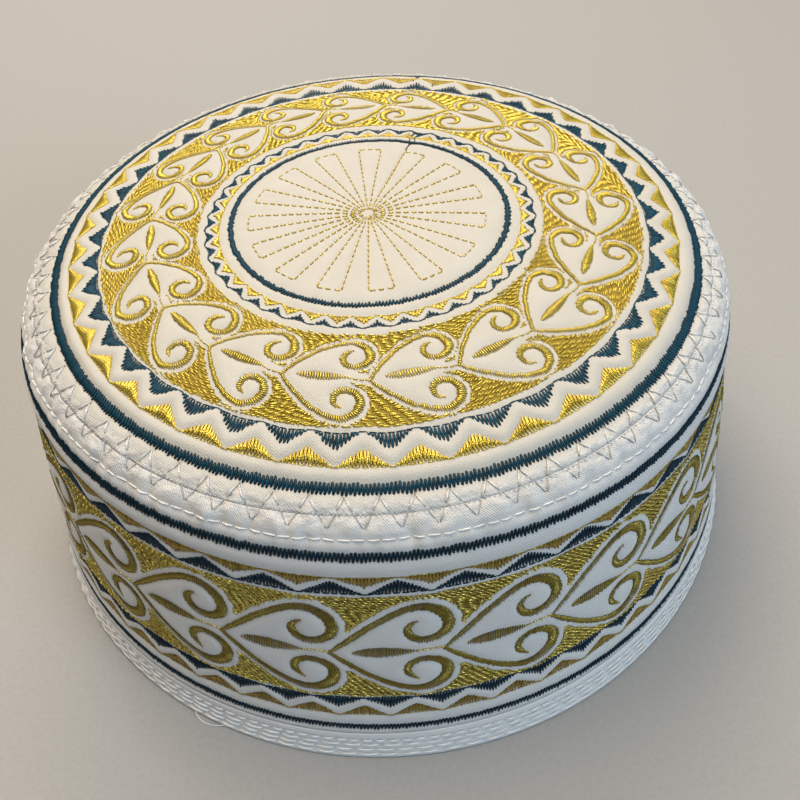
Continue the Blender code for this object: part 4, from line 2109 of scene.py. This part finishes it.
@dataclass
class Studio:
    """A plain pale floor, soft light and the camera at the photo's angle.

    Attributes:
        floor_grain: Scale and detail of the floor's speckle.
        aim: What the lamps point at, in metres.
        camera_back: How far in front of the cap's axis the camera stands.
        pitch: How far it looks down, in radians.
        yaw: How far it looks to the right.
        roll: How far it is tilted.
    """

    floor_size: float = 6.0
    floor_dark: tuple = (0.35, 0.34, 0.33)
    floor_bright: tuple = (0.42, 0.41, 0.39)
    floor_grain: tuple = (900.0, 2.0)
    floor_roughness: float = 0.9
    sky: tuple = (0.62, 0.80, 1.0, 1.0)
    sky_strength: float = 0.14
    lamps: tuple = (
        Lamp("overhead", (-0.15, 0.1, 1.05), 0.7, 9.6, (1.0, 0.885, 0.735)),
        Lamp("behind", (-0.12, 0.72, 0.80), 0.7, 7.5, (1.0, 0.88, 0.74)),
        Lamp("window", (0.85, -0.72, 0.55), 0.5, 7.0, (0.60, 0.80, 1.0)),
    )
    aim: tuple = (0.0, 0.0, 0.05)
    lens: float = 37.69
    sensor: float = 36.0
    camera_back: float = 157.2
    camera_height: float = 187.0
    pitch: float = 0.8307
    yaw: float = 0.0269
    roll: float = -0.0652

    def build(self) -> None:
        """Set up everything round the cap."""
        self.lay_floor()
        self.light()
        self.set_camera()

    def lay_floor(self) -> None:
        """A pale floor."""
        bpy.ops.object.select_all(action="DESELECT")
        bpy.ops.mesh.primitive_plane_add(size=self.floor_size)
        floor = bpy.context.object
        floor.name = "floor"
        sheet = NodeSheet("pale_floor")
        colour = sheet.mixed(sheet.noise(*self.floor_grain), self.floor_dark, self.floor_bright)
        sheet.paint({"Base Color": colour, "Roughness": self.floor_roughness})
        floor.data.materials.append(sheet.material)

    def light(self) -> None:
        """Soft warm light from above and behind, and cool light all round."""
        world = bpy.data.worlds.new("room")
        world.use_nodes = True
        sky = world.node_tree.nodes["Background"]
        sky.inputs[0].default_value = self.sky
        sky.inputs[1].default_value = self.sky_strength
        bpy.context.scene.world = world
        bpy.context.scene.view_settings.view_transform = "Standard"
        for lamp in self.lamps:
            self.hang(lamp)

    def hang(self, lamp: Lamp) -> None:
        """Hang a lamp so that it faces the cap.

        Args:
            lamp: The lamp.
        """
        data = bpy.data.lights.new(lamp.name, "AREA")
        data.energy, data.size, data.color = lamp.power, lamp.size, lamp.colour
        hung = bpy.data.objects.new(lamp.name, data)
        hung.location = lamp.place
        hung.rotation_euler = (Vector(self.aim) - Vector(lamp.place)).to_track_quat("-Z", "Y").to_euler()
        bpy.context.scene.collection.objects.link(hung)

    def set_camera(self) -> None:
        """The camera, at the photo's place and angle."""
        level = math.cos(self.pitch)
        forward = Vector((math.sin(self.yaw) * level, math.cos(self.yaw) * level, -math.sin(self.pitch)))
        right = Vector((math.cos(self.yaw), -math.sin(self.yaw), 0.0))
        up = right.cross(forward)
        tilted = right * math.cos(self.roll) + up * math.sin(self.roll)
        up = up * math.cos(self.roll) - right * math.sin(self.roll)
        data = bpy.data.cameras.new("camera")
        data.lens, data.sensor_width, data.clip_start = self.lens, self.sensor, 0.01
        camera = bpy.data.objects.new("camera", data)
        turned = Matrix((tilted, up, -forward)).transposed().to_4x4()
        turned.translation = Vector((0.0, -self.camera_back, self.camera_height)) * MM
        camera.matrix_world = turned
        bpy.context.scene.collection.objects.link(camera)
        bpy.context.scene.camera = camera


def dress(piece: Object, material: Material) -> None:
    """Give a piece its material and make it ride on the cap.

    Args:
        piece: The piece.
        material: Its only material.
    """
    piece.data.materials.clear()
    piece.data.materials.append(material)
    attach(piece, "root")


def main() -> None:
    """Build the cap's pieces in order."""
    face = CapFace()
    relief = Relief(face)
    crown, side, hem = Crown(face), Side(face), Hem(face)
    sewn = crown.sew() + side.sew() + hem.sew()
    for group in sewn:
        relief.press(group.stitches, group.pull, group.underlaid)
    relief.settle()
    for part, finish in ((crown, CREAM_CROWN), (side, CREAM_SIDE), (hem, CREAM_HEM)):
        panel = part.cloth()
        piece = panel.build(face, relief)
        dress(piece, finish.material())
        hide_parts(panel.node)
        LOG.info("%s: %d faces", piece.name, len(piece.data.polygons))
    work = ThreadWork(face, relief)
    finishes = (GOLD, SHADED_GOLD, SHADED_TRIM_GOLD, NAVY, SHADED_NAVY, WHITE, SEAM_THREAD)
    threads = {thread.name: thread.material() for thread in finishes}
    for group in sewn:
        piece = work.build(group.name, group.stitches)
        dress(piece, threads[group.thread.name])
        LOG.info("%s: %d stitches", piece.name, len(group.stitches.start))
    loop = hem.loose_loop()
    dress(loop, threads[WHITE.name])
    LOG.info("%s: %d faces", loop.name, len(loop.data.polygons))
    crown_size = 2 * face.seam_run * MM
    Studio().build()


if __name__ == "__main__":
    main()
